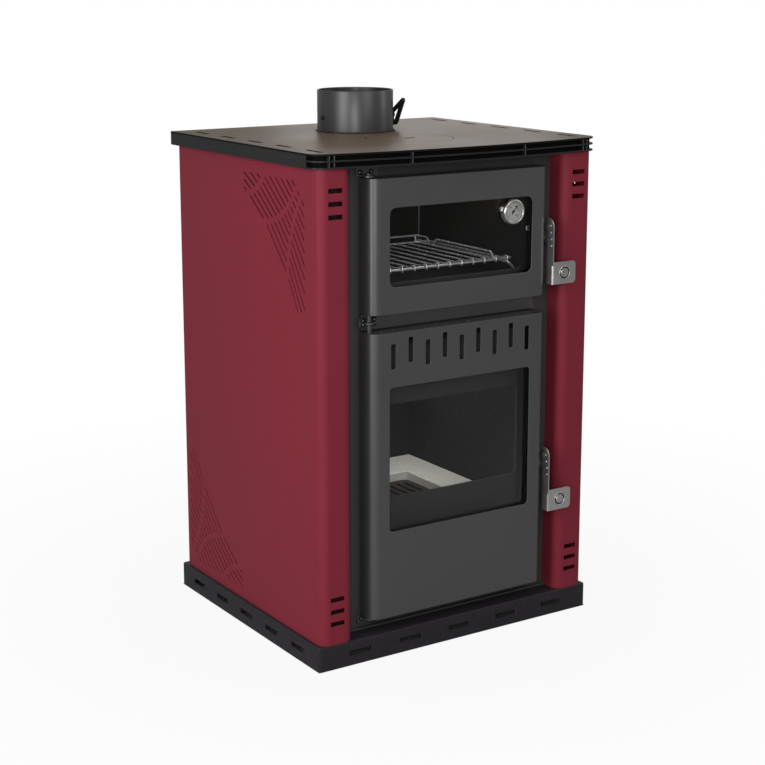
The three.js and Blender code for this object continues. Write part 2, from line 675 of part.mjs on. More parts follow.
// A slot's outline: a strip of the slot's width along the chord
function ventSlot([[y0, z0], [y1, z1]]) {
  const length = Math.hypot(y1 - y0, z1 - z0);
  const sideY = (-(z1 - z0) / length) * (VENT_SLOT_WIDTH / 2);
  const sideZ = ((y1 - y0) / length) * (VENT_SLOT_WIDTH / 2);
  const path = new THREE.Path();
  path.moveTo(y0 + sideY, z0 + sideZ).lineTo(y0 - sideY, z0 - sideZ);
  path.lineTo(y1 - sideY, z1 - sideZ).lineTo(y1 + sideY, z1 + sideZ);
  return path;
}

// The right panel. Its front corner is notched at the top to clear the trim.
function sidePanel() {
  const frontY = PILLAR_SIDE_Y + GAP;
  const notchY = frontY + PANEL_FLANGE;
  const outline = new THREE.Shape();
  outline.moveTo(frontY, BODY_BOTTOM_Z).lineTo(BODY_BACK_Y, BODY_BOTTOM_Z);
  outline.lineTo(BODY_BACK_Y, UNDER_SHEET_Z).lineTo(notchY, UNDER_SHEET_Z);
  outline.lineTo(notchY, UNDER_RIM_Z).lineTo(frontY, UNDER_RIM_Z);
  const chords = ventChords();
  outline.holes.push(...chords.map((chord) => ventSlot(chord.map(upperVentPoint))));
  outline.holes.push(...chords.map((chord) => ventSlot(chord.map(lowerVentPoint))));
  const sheet = alongX(outline, [BODY_HALF_WIDTH - PANEL_SHEET, BODY_HALF_WIDTH]);
  const flangeX = [BODY_HALF_WIDTH - PANEL_FLANGE, BODY_HALF_WIDTH - PANEL_SHEET / 2];
  const frontFlange = block(flangeX, [frontY, frontY + PANEL_SHEET], [BODY_BOTTOM_Z, UNDER_RIM_Z]);
  const backFlange = block(flangeX, [BODY_BACK_Y - PANEL_SHEET, BODY_BACK_Y], [BODY_BOTTOM_Z, UNDER_SHEET_Z]);
  return joined(sheet, frontFlange, backFlange);
}

function sidePanels() {
  const right = sidePanel();
  return [
    piece("left_side_panel", mirroredInX(right), RED_PAINT),
    piece("right_side_panel", right, RED_PAINT),
  ];
}

// The right pillar: inner wall, bend, front, bend, and an outer edge that meets the side panel.
function pillar() {
  const inner = PILLAR_INNER_X;
  const outer = BODY_HALF_WIDTH;
  const rear = BEFORE_FRAME_Y;
  const bendY = PILLAR_SIDE_Y;
  const insideBend = PILLAR_BEND - PANEL_SHEET;
  const [back, front, side] = [Math.PI, Math.PI * 1.5, Math.PI * 2];
  const section = new THREE.Shape();
  section.moveTo(inner, rear).lineTo(inner, bendY);
  section.absarc(inner + PILLAR_BEND, bendY, PILLAR_BEND, back, front);
  section.lineTo(outer - PILLAR_BEND, PILLAR_FRONT_Y);
  section.absarc(outer - PILLAR_BEND, bendY, PILLAR_BEND, front, side);
  section.lineTo(outer - PANEL_SHEET, bendY);
  section.absarc(outer - PILLAR_BEND, bendY, insideBend, side, front, true);
  section.lineTo(inner + PILLAR_BEND, PILLAR_FRONT_Y + PANEL_SHEET);
  section.absarc(inner + PILLAR_BEND, bendY, insideBend, front, back, true);
  section.lineTo(inner + PANEL_SHEET, rear);
  const sheet = alongZ(section, [BODY_BOTTOM_Z, UNDER_RIM_Z]);
  const slotX = around(outer - PILLAR_WIDTH / 2, PILLAR_SLOT_LENGTH);
  const slotY = widened([PILLAR_FRONT_Y, PILLAR_FRONT_Y + PANEL_SHEET], OVERRUN);
  const slotMiddles = [PLINTH_HEIGHT + PILLAR_BOTTOM_SLOT_RISE, RIM_BOTTOM_Z - PILLAR_TOP_SLOT_DROP];
  const slots = slotMiddles
    .flatMap((middle) => row(PILLAR_SLOTS, PILLAR_SLOT_PITCH, middle))
    .map((z) => block(slotX, slotY, around(z, PILLAR_SLOT_HEIGHT)));
  return cut(sheet, ...slots);
}

function pillars() {
  const right = pillar();
  return [
    piece("left_front_pillar", mirroredInX(right), RED_PAINT),
    piece("right_front_pillar", right, RED_PAINT),
  ];
}

function backPanel() {
  const halfWidth = BODY_HALF_WIDTH - PANEL_SHEET - GAP;
  const frontY = BODY_BACK_Y - PANEL_SHEET - GAP;
  const sheet = block(symmetric(halfWidth), [frontY - PANEL_SHEET, frontY], [BODY_BOTTOM_Z, UNDER_SHEET_Z]);
  const through = [frontY - PANEL_SHEET - OVERRUN, frontY + OVERRUN];
  const slotXs = spread(BACK_SLOT_COLUMNS, symmetric(BODY_HALF_WIDTH - BACK_SLOT_SIDE_MARGIN));
  const slots = [PLINTH_HEIGHT + BACK_SLOT_RISE, RIM_BOTTOM_Z - BACK_SLOT_DROP].flatMap((middle) =>
    row(BACK_SLOT_ROWS, BACK_SLOT_PITCH, middle).flatMap((z) =>
      slotXs.map((x) =>
        block(around(x, BACK_SLOT_LENGTH), through, around(z, BACK_SLOT_HEIGHT)),
      ),
    ),
  );
  return piece("back_panel", cut(sheet, ...slots), BLACK_PAINT);
}

function frontFrame() {
  const face = rectangle(symmetric(FRAME_HALF_WIDTH), [BODY_BOTTOM_Z, UNDER_SHEET_Z]);
  const opening = (side, low, high) =>
    rectangle(symmetric(WINDOW_HALF_WIDTH + side), [low, high], OPENING_CORNER);
  face.holes.push(
    opening(
      OVEN_OPENING_SIDE,
      OVEN_DOOR.windowBottom - OVEN_OPENING_BELOW,
      OVEN_DOOR.windowTop + OVEN_OPENING_ABOVE,
    ),
    opening(
      FIRE_OPENING_SIDE,
      FIRE_DOOR.windowBottom + FIRE_OPENING_SILL,
      FIRE_DOOR.windowTop - FIRE_OPENING_HEAD,
    ),
    rectangle(symmetric(ASH_OPENING_HALF_WIDTH), [CASING_FLOOR_Z, ashOpeningTop()]),
  );
  const sheet = alongY(face, [FRAME_FRONT_Y, FRAME_BACK_Y], SMALLEST_BEND_STEPS);
  const foot = block(
    symmetric(PILLAR_INNER_X - GAP),
    [FRAME_FRONT_Y - FRAME_FOOT_DEPTH, FRAME_FRONT_Y + FRAME_SHEET / 2],
    [BODY_BOTTOM_Z, BODY_BOTTOM_Z + FRAME_FOOT_HEIGHT],
  );
  return piece("front_frame", joined(sheet, foot), BLACK_PAINT);
}

function ashOpeningTop() {
  return CASING_FLOOR_Z + GAP + DRAWER_HEIGHT + ASH_OPENING_CLEARANCE;
}

function middleRail() {
  const bar = block(
    symmetric(RAIL_HALF_WIDTH),
    [BEFORE_FRAME_Y - RAIL_THICKNESS, BEFORE_FRAME_Y],
    [RAIL_BOTTOM_Z, RAIL_TOP_Z - TAB_GAP],
  );
  return piece("middle_rail", bar, DOOR_PAINT);
}

// The top's plan, drawn in by an inset: straight sides and back, rounded front corners, a bowed front.
function topPlan(inset) {
  const half = TOP_HALF_WIDTH;
  const bowY = TOP_APEX_Y + TOP_BOW_RADIUS;
  const cornerX = half - TOP_CORNER;
  const cornerY = bowY - Math.sqrt((TOP_BOW_RADIUS - TOP_CORNER) ** 2 - cornerX ** 2);
  const bowAngle = Math.asin(cornerX / (TOP_BOW_RADIUS - TOP_CORNER));
  const down = -Math.PI / 2;
  const plan = new THREE.Shape();
  plan.moveTo(half - inset, TOP_BACK_Y - inset).lineTo(inset - half, TOP_BACK_Y - inset);
  plan.lineTo(inset - half, cornerY);
  plan.absarc(-cornerX, cornerY, TOP_CORNER - inset, Math.PI, Math.PI * 1.5 - bowAngle);
  plan.absarc(0, bowY, TOP_BOW_RADIUS - inset, down - bowAngle, down + bowAngle);
  plan.absarc(cornerX, cornerY, TOP_CORNER - inset, down + bowAngle, 0);
  return { plan, cornerY };
}

function topBand(outerInset, innerInset, z) {
  const { plan } = topPlan(outerInset);
  plan.holes.push(topPlan(innerInset).plan);
  return alongZ(plan, z, BOW_STEPS);
}

function topPlate() {
  const { plan, cornerY } = topPlan(0);
  const sheet = alongZ(plan, [TOP_Z - TOP_SHEET, TOP_Z], BOW_STEPS);
  const through = widened([TOP_Z - TOP_SHEET, TOP_Z], OVERRUN);
  const collarHole = pinAlongZ(0, COLLAR_Y, COLLAR_RADIUS + GAP, through, LARGE_ROUND_SEGMENTS);
  const slotYs = spread(TOP_SLOTS, [TOP_APEX_Y + TOP_SLOT_FRONT_MARGIN, TOP_BACK_Y - TOP_SLOT_BACK_MARGIN]);
  const slots = symmetric(TOP_HALF_WIDTH - TOP_SLOT_SIDE_INSET).flatMap((x) =>
    slotYs.map((y) => block(around(x, TOP_SLOT_WIDTH), around(y, TOP_SLOT_LENGTH), through)),
  );
  const rim = common(
    topBand(0, TOP_RIM_SHEET, [RIM_BOTTOM_Z, TOP_Z - TOP_SHEET / 2]),
    block(
      symmetric(TOP_HALF_WIDTH + OVERRUN),
      [cornerY + GAP, TOP_BACK_Y + OVERRUN],
      [RIM_BOTTOM_Z - OVERRUN, TOP_Z + OVERRUN],
    ),
  );
  const seatBottom = TOP_Z - TOP_SHEET - LID_SEAT_THICKNESS;
  const seatZ = [seatBottom, TOP_Z - TOP_SHEET / 2];
  const seat = pinAlongZ(0, LID_Y, LID_SEAT_OUTER_RADIUS, seatZ, LARGE_ROUND_SEGMENTS);
  const seatHole = pinAlongZ(
    0,
    LID_Y,
    LID_SEAT_INNER_RADIUS,
    [seatBottom - OVERRUN, TOP_Z + OVERRUN],
    LARGE_ROUND_SEGMENTS,
  );
  const recess = pinAlongZ(
    0,
    LID_Y,
    LID_RADIUS + LID_CLEARANCE,
    [TOP_Z - TOP_SHEET, TOP_Z + OVERRUN],
    LARGE_ROUND_SEGMENTS,
  );
  const plate = cut(joined(sheet, rim, seat), collarHole, seatHole, recess, ...slots);
  return piece("top_plate", plate, TOP_PAINT);
}

function cookingLid() {
  const disc = pinAlongZ(0, LID_Y, LID_RADIUS, [TOP_Z - TOP_SHEET + GAP, TOP_Z], LARGE_ROUND_SEGMENTS);
  const slot = block(
    around(0, LID_SLOT_LENGTH),
    around(LID_Y, LID_SLOT_WIDTH),
    widened([TOP_Z - TOP_SHEET, TOP_Z], OVERRUN),
  );
  return piece("cooking_lid", cut(disc, slot), TOP_PAINT);
}

function frontTrim() {
  const { cornerY } = topPlan(0);
  const height = [RIM_BOTTOM_Z, UNDER_SHEET_Z];
  const middleZ = TOP_Z - FIN_MIDDLE_Z_DROP;
  const bands = joined(
    topBand(FIN_DEPTH, FIN_DEPTH + TRIM_WALL, height),
    topBand(0, FIN_DEPTH + TRIM_WALL / 2, around(middleZ, FIN_THICKNESS)),
    topBand(0, FIN_DEPTH + TRIM_WALL / 2, [RIM_BOTTOM_Z, RIM_BOTTOM_Z + FIN_THICKNESS]),
  );
  const postXs = POST_SIDE_INSETS.flatMap((inset) => symmetric(TOP_HALF_WIDTH - inset));
  const posts = common(
    topBand(POST_FRONT_INSET, FIN_DEPTH + TRIM_WALL / 2, height),
    postXs
      .map((x) => block(around(x, POST_WIDTH), [TOP_APEX_Y, cornerY], height))
      .reduce((whole, next) => joined(whole, next)),
  );
  const front = block(
    symmetric(TOP_HALF_WIDTH + OVERRUN),
    [TOP_APEX_Y - OVERRUN, cornerY],
    widened(height, OVERRUN),
  );
  return piece("front_trim", common(joined(bands, posts), front), BLACK_PAINT);
}

function collarAndDamper() {
  const inner = COLLAR_RADIUS - COLLAR_WALL;
  const bottom = TOP_Z - COLLAR_SKIRT;
  const bead = COLLAR_RADIUS + COLLAR_BEAD;
  const beadBottom = TOP_Z + GAP;
  const profile = [
    [inner, bottom],
    [COLLAR_RADIUS, bottom],
    [COLLAR_RADIUS, beadBottom],
    [bead, beadBottom],
    [COLLAR_RADIUS, beadBottom + COLLAR_BEAD],
    [COLLAR_RADIUS, COLLAR_TOP_Z],
    [inner, COLLAR_TOP_Z],
    [inner, bottom],
  ].map(([r, z]) => new THREE.Vector2(r, z));
  const tube = new THREE.LatheGeometry(profile, LARGE_ROUND_SEGMENTS)
    .rotateX(Math.PI / 2)
    .translate(0, COLLAR_Y, 0);
  const shaftHole = pinAlongX(
    COLLAR_Y,
    DAMPER_Z,
    DAMPER_SHAFT_RADIUS + PIN_CLEARANCE,
    symmetric(COLLAR_RADIUS + OVERRUN),
  );
  const discRadius = inner - DAMPER_CLEARANCE;
  const disc = joined(
    pinAlongZ(0, COLLAR_Y, discRadius, around(DAMPER_Z, DAMPER_THICKNESS), LARGE_ROUND_SEGMENTS),
    block(
      symmetric(COLLAR_RADIUS - DAMPER_RIB_END),
      around(COLLAR_Y, DAMPER_RIB),
      around(DAMPER_Z, DAMPER_RIB),
    ),
  );
  const shaftLength = [-COLLAR_RADIUS - DAMPER_SHAFT_TAIL, COLLAR_RADIUS + DAMPER_SHAFT_END];
  const bore = pinAlongX(COLLAR_Y, DAMPER_Z, DAMPER_SHAFT_RADIUS + GAP, widened(shaftLength, OVERRUN));
  return [
    piece("flue_collar", cut(tube, shaftHole), BLACK_PAINT),
    piece("damper_disc", cut(disc, bore), CAST_IRON),
    piece("damper_shaft", pinAlongX(COLLAR_Y, DAMPER_Z, DAMPER_SHAFT_RADIUS, shaftLength), STEEL),
    piece("damper_lever", cut(damperLever(), bore), BLACK_PAINT),
  ];
}

// An open loop of rod on a hub
function damperLever() {
  const x = COLLAR_RADIUS + DAMPER_SHAFT_END - LEVER_INSET;
  const place = ({ y, z }) => point(x, COLLAR_Y + y, DAMPER_Z + z);
  const hubPlace = point(x, COLLAR_Y, DAMPER_Z);
  const loop = [hubPlace, place(LEVER_TIP), place(LEVER_HEEL), place(LEVER_ROOT), hubPlace];
  const hub = pinAlongX(COLLAR_Y, DAMPER_Z, LEVER_HUB_RADIUS, around(x, LEVER_HUB_WIDTH));
  return joined(hub, ...bentRod(loop, LEVER_ROD));
}

function innerCasing() {
  const halfWidth = symmetric(CASING_HALF_WIDTH);
  const inside = symmetric(CASING_INNER_HALF_WIDTH);
  const outer = block(halfWidth, [BEHIND_FRAME_Y, CASING_BACK_Y], [BODY_BOTTOM_Z, UNDER_SHEET_Z]);
  const floorBottom = CASING_FLOOR_Z - CASING_SHEET;
  const openFront = [BEHIND_FRAME_Y - OVERRUN, CASING_INNER_BACK_Y];
  const above = block(inside, openFront, [CASING_FLOOR_Z, UNDER_SHEET_Z + OVERRUN]);
  const below = block(inside, openFront, [BODY_BOTTOM_Z - OVERRUN, floorBottom]);
  return piece("inner_casing", cut(outer, above, below), CAST_IRON);
}

function ovenBox() {
  const inner = block(
    symmetric(OVEN_HALF_WIDTH),
    [BEHIND_FRAME_Y - OVERRUN, OVEN_BACK_Y],
    [OVEN_FLOOR_Z, OVEN_CEILING_Z],
  );
  const outer = block(
    symmetric(OVEN_HALF_WIDTH + OVEN_SHEET),
    [BEHIND_FRAME_Y, OVEN_BACK_Y + OVEN_SHEET],
    [OVEN_FLOOR_Z - OVEN_SHEET, OVEN_CEILING_Z + OVEN_SHEET],
  );
  return piece("oven_box", cut(outer, inner), CAST_IRON);
}

// The raised rim on one side: up from the front wire, back with a dip, and down at the rear.
function rackRim(side) {
  const x = side * RACK_RIM_WIRE * RACK_PITCH;
  const rimZ = RACK_Z + RACK_RIM_HEIGHT;
  const dipY = RACK_BACK_Y - RACK_DIP_INSET;
  return bentRod(
    [
      point(x, RACK_FRONT_Y, RACK_Z),
      point(x, RACK_FRONT_Y + RACK_RIM_HEIGHT, rimZ),
      point(x, dipY - RACK_DIP_HALF, rimZ),
      point(x, dipY, RACK_Z),
      point(x, dipY + RACK_DIP_HALF, rimZ),
      point(x, RACK_BACK_Y, rimZ),
      point(0, RACK_BACK_Y, rimZ),
    ],
    RACK_WIRE,
  );
}

function ovenRack() {
  const ends = [RACK_FRONT_Y, RACK_BACK_Y];
  const crossWires = row(RACK_WIRES_EACH_SIDE * 2 + 1, RACK_PITCH).map((x) =>
    rod(point(x, ends[0], RACK_Z), point(x, ends[1], RACK_Z), RACK_WIRE),
  );
  const wireAcross = (y, radius) =>
    rod(point(-RACK_HALF_WIDTH, y, RACK_Z), point(RACK_HALF_WIDTH, y, RACK_Z), radius);
  const frontWire = wireAcross(RACK_FRONT_Y, RACK_FRONT_WIRE);
  const backWire = wireAcross(RACK_BACK_Y, RACK_WIRE);
  const rimX = RACK_RIM_WIRE * RACK_PITCH;
  const corners = [-rimX, rimX].map((x) =>
    rod(point(x, RACK_BACK_Y, RACK_Z), point(x, RACK_BACK_Y, RACK_Z + RACK_RIM_HEIGHT), RACK_WIRE),
  );
  const rims = [...rackRim(-1), ...rackRim(1)];
  return piece("oven_rack", joined(frontWire, backWire, ...crossWires, ...corners, ...rims), WIRE);
}

// The right runner, bent to the oven's wall at both ends
function runner() {
  const frontY = FRAME_FRONT_Y + RUNNER_FRONT_INSET;
  const backY = OVEN_BACK_Y - RUNNER_BACK_INSET;
  const z = RACK_Z - RACK_FRONT_WIRE - GAP - RUNNER_ROD;
  const bent = joined(
    ...bentRod(
      [
        point(OVEN_HALF_WIDTH, frontY, z - RUNNER_FRONT_DROP),
        point(RACK_HALF_WIDTH, frontY, z),
        point(RACK_HALF_WIDTH, backY, z),
        point(OVEN_HALF_WIDTH, backY, z),
      ],
      RUNNER_ROD,
    ),
  );
  const insideWalls = block(
    symmetric(OVEN_HALF_WIDTH - GAP),
    [FRAME_FRONT_Y, OVEN_BACK_Y],
    [OVEN_FLOOR_Z, OVEN_CEILING_Z],
  );
  return common(bent, insideWalls);
}

function runners() {
  const right = runner();
  return [
    piece("left_rack_runner", mirroredInX(right), WIRE),
    piece("right_rack_runner", right, WIRE),
  ];
}

function hearthPlate() {
  const z = [HEARTH_TOP_Z - HEARTH_THICKNESS, HEARTH_TOP_Z];
  const slab = block(
    symmetric(CASING_INNER_HALF_WIDTH - GAP),
    [BEHIND_FRAME_Y + GAP, CASING_INNER_BACK_Y - GAP],
    z,
  );
  return piece("hearth_plate", cut(slab, ashFall(z)), CAST_IRON);
}

// The hole under the grate that lets the ash down
function ashFall(z) {
  return block(
    symmetric(WELL_HALF_WIDTH - WELL_LEDGE),
    [WELL_FRONT_Y + WELL_LEDGE, WELL_BACK_Y - WELL_LEDGE],
    widened(z, OVERRUN),
  );
}

function bricks() {
  const height = [HEARTH_TOP_Z + GAP, BRICK_TOP_Z];
  const outerX = CASING_INNER_HALF_WIDTH - GAP;
  const rearY = CASING_INNER_BACK_Y - GAP;
  const side = block([BRICK_INNER_HALF_WIDTH, outerX], [BEHIND_FRAME_Y + GAP, rearY], height);
  const back = block(symmetric(BRICK_INNER_HALF_WIDTH - GAP), [BRICK_BACK_Y, rearY], height);
  return [
    piece("left_firebrick", mirroredInX(side), BRICK),
    piece("right_firebrick", side, BRICK),
    piece("back_firebrick", back, BRICK),
  ];
}

function refractoryBed() {
  const z = [HEARTH_TOP_Z + GAP, BED_TOP_Z];
  const slab = block(
    symmetric(BRICK_INNER_HALF_WIDTH - GAP),
    [BEHIND_FRAME_Y + GAP, BRICK_BACK_Y - GAP],
    z,
  );
  const ledgeZ = BED_TOP_Z - GRATE_DROP - GRATE_THICKNESS - GAP;
  const well = alongZ(
    rectangle(symmetric(WELL_HALF_WIDTH), [WELL_FRONT_Y, WELL_BACK_Y], WELL_CORNER),
    [ledgeZ, BED_TOP_Z + OVERRUN],
    SMALL_BEND_STEPS,
  );
  return piece("refractory_bed", cut(slab, well, ashFall(z)), REFRACTORY);
}

function fireGrate() {
  const top = BED_TOP_Z - GRATE_DROP;
  const z = [top - GRATE_THICKNESS, top];
  const plan = rectangle(
    symmetric(WELL_HALF_WIDTH - GAP),
    [WELL_FRONT_Y + GAP, WELL_BACK_Y - GAP],
    WELL_CORNER,
  );
  const slotY = [WELL_FRONT_Y + GRATE_SLOT_MARGIN, WELL_BACK_Y - GRATE_SLOT_MARGIN];
  const slots = spread(GRATE_SLOTS, symmetric(WELL_HALF_WIDTH - GRATE_SLOT_MARGIN)).map((x) =>
    block(around(x, GRATE_SLOT_WIDTH), slotY, widened(z, OVERRUN)),
  );
  return piece("fire_grate", cut(alongZ(plan, z, SMALL_BEND_STEPS), ...slots), CAST_IRON);
}

function smokeBaffle() {
  const slab = block(
    symmetric(CASING_INNER_HALF_WIDTH - GAP),
    [BEHIND_FRAME_Y + GAP, BRICK_BACK_Y - BAFFLE_BACK_GAP],
    [BRICK_TOP_Z + GAP, BRICK_TOP_Z + GAP + BAFFLE_THICKNESS],
  );
  return piece("smoke_baffle", slab, CAST_IRON);
}

function ashDrawer() {
  const bottom = CASING_FLOOR_Z + GAP;
  const top = bottom + DRAWER_HEIGHT;
  const depth = [FRAME_FRONT_Y, CASING_BACK_Y - DRAWER_BACK_INSET];
  const tray = block(symmetric(DRAWER_HALF_WIDTH), depth, [bottom, top]);
  const inside = block(
    symmetric(DRAWER_HALF_WIDTH - DRAWER_SHEET),
    widened(depth, -DRAWER_SHEET),
    [bottom + DRAWER_SHEET, top + OVERRUN],
  );
  const pull = block(
    around(0, DRAWER_PULL_WIDTH),
    [FRAME_FRONT_Y - DRAWER_PULL_DEPTH, FRAME_FRONT_Y + DRAWER_SHEET / 2],
    around(top - DRAWER_PULL_DROP, DRAWER_PULL_THICKNESS),
  );
  return piece("ash_drawer", joined(cut(tray, inside), pull), STEEL);
}

// Plan section of a door's skin: flat front, a bend at each side, straight returns
function doorSection(inset, rearY) {
  const half = DOOR_HALF_WIDTH - inset;
  const front = DOOR_FRONT_Y + inset;
  const bend = DOOR_BEND - inset;
  const bendY = front + bend;
  const section = new THREE.Shape();
  section.moveTo(-half, rearY).lineTo(-half, bendY);
  section.absarc(bend - half, bendY, bend, Math.PI, Math.PI * 1.5);
  section.lineTo(half - bend, front);
  section.absarc(half - bend, bendY, bend, Math.PI * 1.5, Math.PI * 2);
  section.lineTo(half, rearY);
  return section;
}

function doorSkin(door) {
  const outer = alongZ(doorSection(0, DOOR_REAR_Y), [door.bottom, door.top]);
  const hollow = alongZ(
    doorSection(DOOR_SHEET, DOOR_REAR_Y + OVERRUN),
    [door.bottom + DOOR_SHEET, door.top - DOOR_SHEET],
  );
  const window = alongY(
    rectangle(symmetric(WINDOW_HALF_WIDTH), [door.windowBottom, door.windowTop], door.windowCorner),
    widened([DOOR_FRONT_Y, DOOR_FRONT_Y + DOOR_SHEET], OVERRUN),
    SMALL_BEND_STEPS,
  );
  const pinHole = pinAlongZ(
    HINGE_X,
    HINGE_Y,
    HINGE_PIN_RADIUS + PIN_CLEARANCE,
    widened([door.bottom, door.top], OVERRUN),
  );
  return [outer, hollow, window, pinHole];
}

function airSlots() {
  const through = widened([DOOR_FRONT_Y, DOOR_FRONT_Y + DOOR_SHEET], OVERRUN);
  return spread(AIR_SLOTS, symmetric(DOOR_HALF_WIDTH - AIR_SLOT_SIDE_MARGIN)).map((x, i) => {
    const low = FIRE_DOOR_TOP_Z - AIR_SLOT_DROP + (i % 2) * AIR_SLOT_STEP;
    return block(around(x, AIR_SLOT_WIDTH), through, [low, low + AIR_SLOT_HEIGHT]);
  });
}

function capHoles() {
  const through = widened([FIRE_DOOR_TOP_Z - DOOR_SHEET, FIRE_DOOR_TOP_Z], OVERRUN);
  const y = DOOR_FRONT_Y + CAP_HOLE_FRONT_INSET;
  return spread(CAP_HOLES, symmetric(DOOR_HALF_WIDTH - CAP_HOLE_SIDE_MARGIN)).map((x) =>
    pinAlongZ(x, y, CAP_HOLE_RADIUS, through, ROD_SIDES),
  );
}

// The glass lies against a gasket inside the skin, and a retainer holds it there.
function doorLining(door) {
  const skinBack = DOOR_FRONT_Y + DOOR_SHEET;
  const glassX = symmetric(WINDOW_HALF_WIDTH + GLASS_OVERLAP);
  const glassZ = widened([door.windowBottom, door.windowTop], GLASS_OVERLAP);
  const gasketY = [skinBack + GAP, skinBack + GAP + GASKET_THICKNESS];
  const glassY = [gasketY[1] + GAP, gasketY[1] + GAP + GLASS_THICKNESS];
  const retainerY = [glassY[1] + GAP, glassY[1] + GAP + RETAINER_THICKNESS];
  const innerX = symmetric(DOOR_HALF_WIDTH - DOOR_SHEET - GAP);
  const innerZ = widened([door.bottom, door.top], -DOOR_SHEET - GAP);
  const innerY = [DOOR_REAR_Y - INNER_FRAME_THICKNESS, DOOR_REAR_Y];
  const ropeX = symmetric(DOOR_HALF_WIDTH - ROPE_INSET);
  const ropeZ = widened([door.bottom, door.top], -ROPE_INSET);
  return {
    gasket: alongY(ring(glassX, glassZ, GASKET_WIDTH), gasketY),
    glass: alongY(rectangle(glassX, glassZ), glassY),
    glassY,
    retainer: alongY(ring(glassX, glassZ, GASKET_WIDTH), retainerY),
    innerFrame: alongY(ring(innerX, innerZ, INNER_FRAME_BORDER), innerY),
    rope: alongY(ring(ropeX, ropeZ, ROPE_WIDTH), [DOOR_REAR_Y + GAP, BEFORE_FRAME_Y]),
  };
}

function ovenDoor() {
  const lining = doorLining(OVEN_DOOR);
  const stemHole = pinAlongY(
    THERMOMETER_X,
    THERMOMETER_Z,
    STEM_RADIUS + PIN_CLEARANCE,
    widened(lining.glassY, OVERRUN),
  );
  return [
    piece("oven_door_skin", cut(...doorSkin(OVEN_DOOR)), DOOR_PAINT),
    piece("oven_glass_gasket", lining.gasket, ROPE),
    piece("oven_door_glass", cut(lining.glass, stemHole), GLASS),
    piece("oven_glass_retainer", lining.retainer, BLACK_PAINT),
    piece("oven_door_inner_frame", lining.innerFrame, BLACK_PAINT),
    piece("oven_door_rope", lining.rope, ROPE),
    ...thermometer(lining.glassY[0]),
    ...handle("oven", OVEN_HANDLE_TOP_Z),
  ];
}

function fireDoor() {
  const lining = doorLining(FIRE_DOOR);
  const skin = cut(...doorSkin(FIRE_DOOR), ...airSlots(), ...capHoles());
  return [
    piece("fire_door_skin", skin, DOOR_PAINT),
    piece("fire_glass_gasket", lining.gasket, ROPE),
    piece("fire_door_glass", lining.glass, GLASS),
    piece("fire_glass_retainer", lining.retainer, BLACK_PAINT),
    piece("fire_door_inner_frame", lining.innerFrame, BLACK_PAINT),
    piece("fire_door_rope", lining.rope, ROPE),
    ...handle("fire", FIRE_HANDLE_TOP_Z),
  ];
}

// A folded handle: a strip beside the door, a plate that faces the front, and a nose that reaches back
// under the strike. It hangs on a shouldered pin in the door's side.
function handle(name, topZ) {
  const stripX = [HANDLE_X, HANDLE_X + HANDLE_SHEET];
  const stripBack = HANDLE_FRONT_Y + HANDLE_STRIP_WIDTH;
  const plateTop = topZ - HANDLE_STRIP_HEIGHT;
  const plateZ = [plateTop - HANDLE_PLATE_HEIGHT, plateTop];
  const strip = new THREE.Shape();
  strip.moveTo(HANDLE_FRONT_Y, plateZ[0]).lineTo(stripBack - HANDLE_PLATE_CORNER, plateZ[0]);
  strip.lineTo(stripBack, topZ);
  strip.lineTo(HANDLE_FRONT_Y + HANDLE_STRIP_ROUND, topZ);
  strip.absarc(
    HANDLE_FRONT_Y + HANDLE_STRIP_ROUND,
    topZ - HANDLE_STRIP_ROUND,
    HANDLE_STRIP_ROUND,
    Math.PI / 2,
    Math.PI,
  );
  const noseTop = topZ - HANDLE_NOSE_DROP;
  const nose = block(
    stripX,
    [stripBack - HANDLE_STRIP_WIDTH / 2, DOOR_REAR_Y - HANDLE_NOSE_END],
    [noseTop - HANDLE_NOSE_HEIGHT, noseTop],
  );
  const plateX = [stripX[0], stripX[0] + HANDLE_PLATE_WIDTH + HANDLE_SHEET];
  const plateY = [HANDLE_FRONT_Y, HANDLE_FRONT_Y + HANDLE_SHEET];
  const plate = alongY(rectangle(plateX, plateZ, HANDLE_PLATE_CORNER), plateY, SMALL_BEND_STEPS);
  const boss = pinAlongY(
    (stripX[1] + plateX[1]) / 2,
    (plateZ[0] + plateZ[1]) / 2,
    HANDLE_BOSS_RADIUS,
    [HANDLE_FRONT_Y - HANDLE_BOSS, HANDLE_FRONT_Y + HANDLE_BOSS],
    ROUND_SEGMENTS,
  );
  const pinZ = topZ - HANDLE_PIN_DROP;
  const hole = pinAlongX(HANDLE_PIN_Y, pinZ, HANDLE_PIN_RADIUS + GAP, widened(stripX, OVERRUN));
  const shoulder = pinAlongX(
    HANDLE_PIN_Y,
    pinZ,
    HANDLE_PIN_HEAD_RADIUS,
    [DOOR_HALF_WIDTH + GAP, stripX[0] - GAP],
  );
  const headX = [stripX[1] + GAP, stripX[1] + GAP + HANDLE_PIN_HEAD];
  const shank = pinAlongX(HANDLE_PIN_Y, pinZ, HANDLE_PIN_RADIUS, [DOOR_HALF_WIDTH + GAP, headX[1]]);
  const head = pinAlongX(HANDLE_PIN_Y, pinZ, HANDLE_PIN_HEAD_RADIUS, headX);
  return [
    piece(`${name}_handle`, cut(joined(alongX(strip, stripX), nose, plate, boss), hole), STEEL),
    piece(`${name}_handle_pin`, joined(shoulder, shank, head), STEEL),
  ];
}

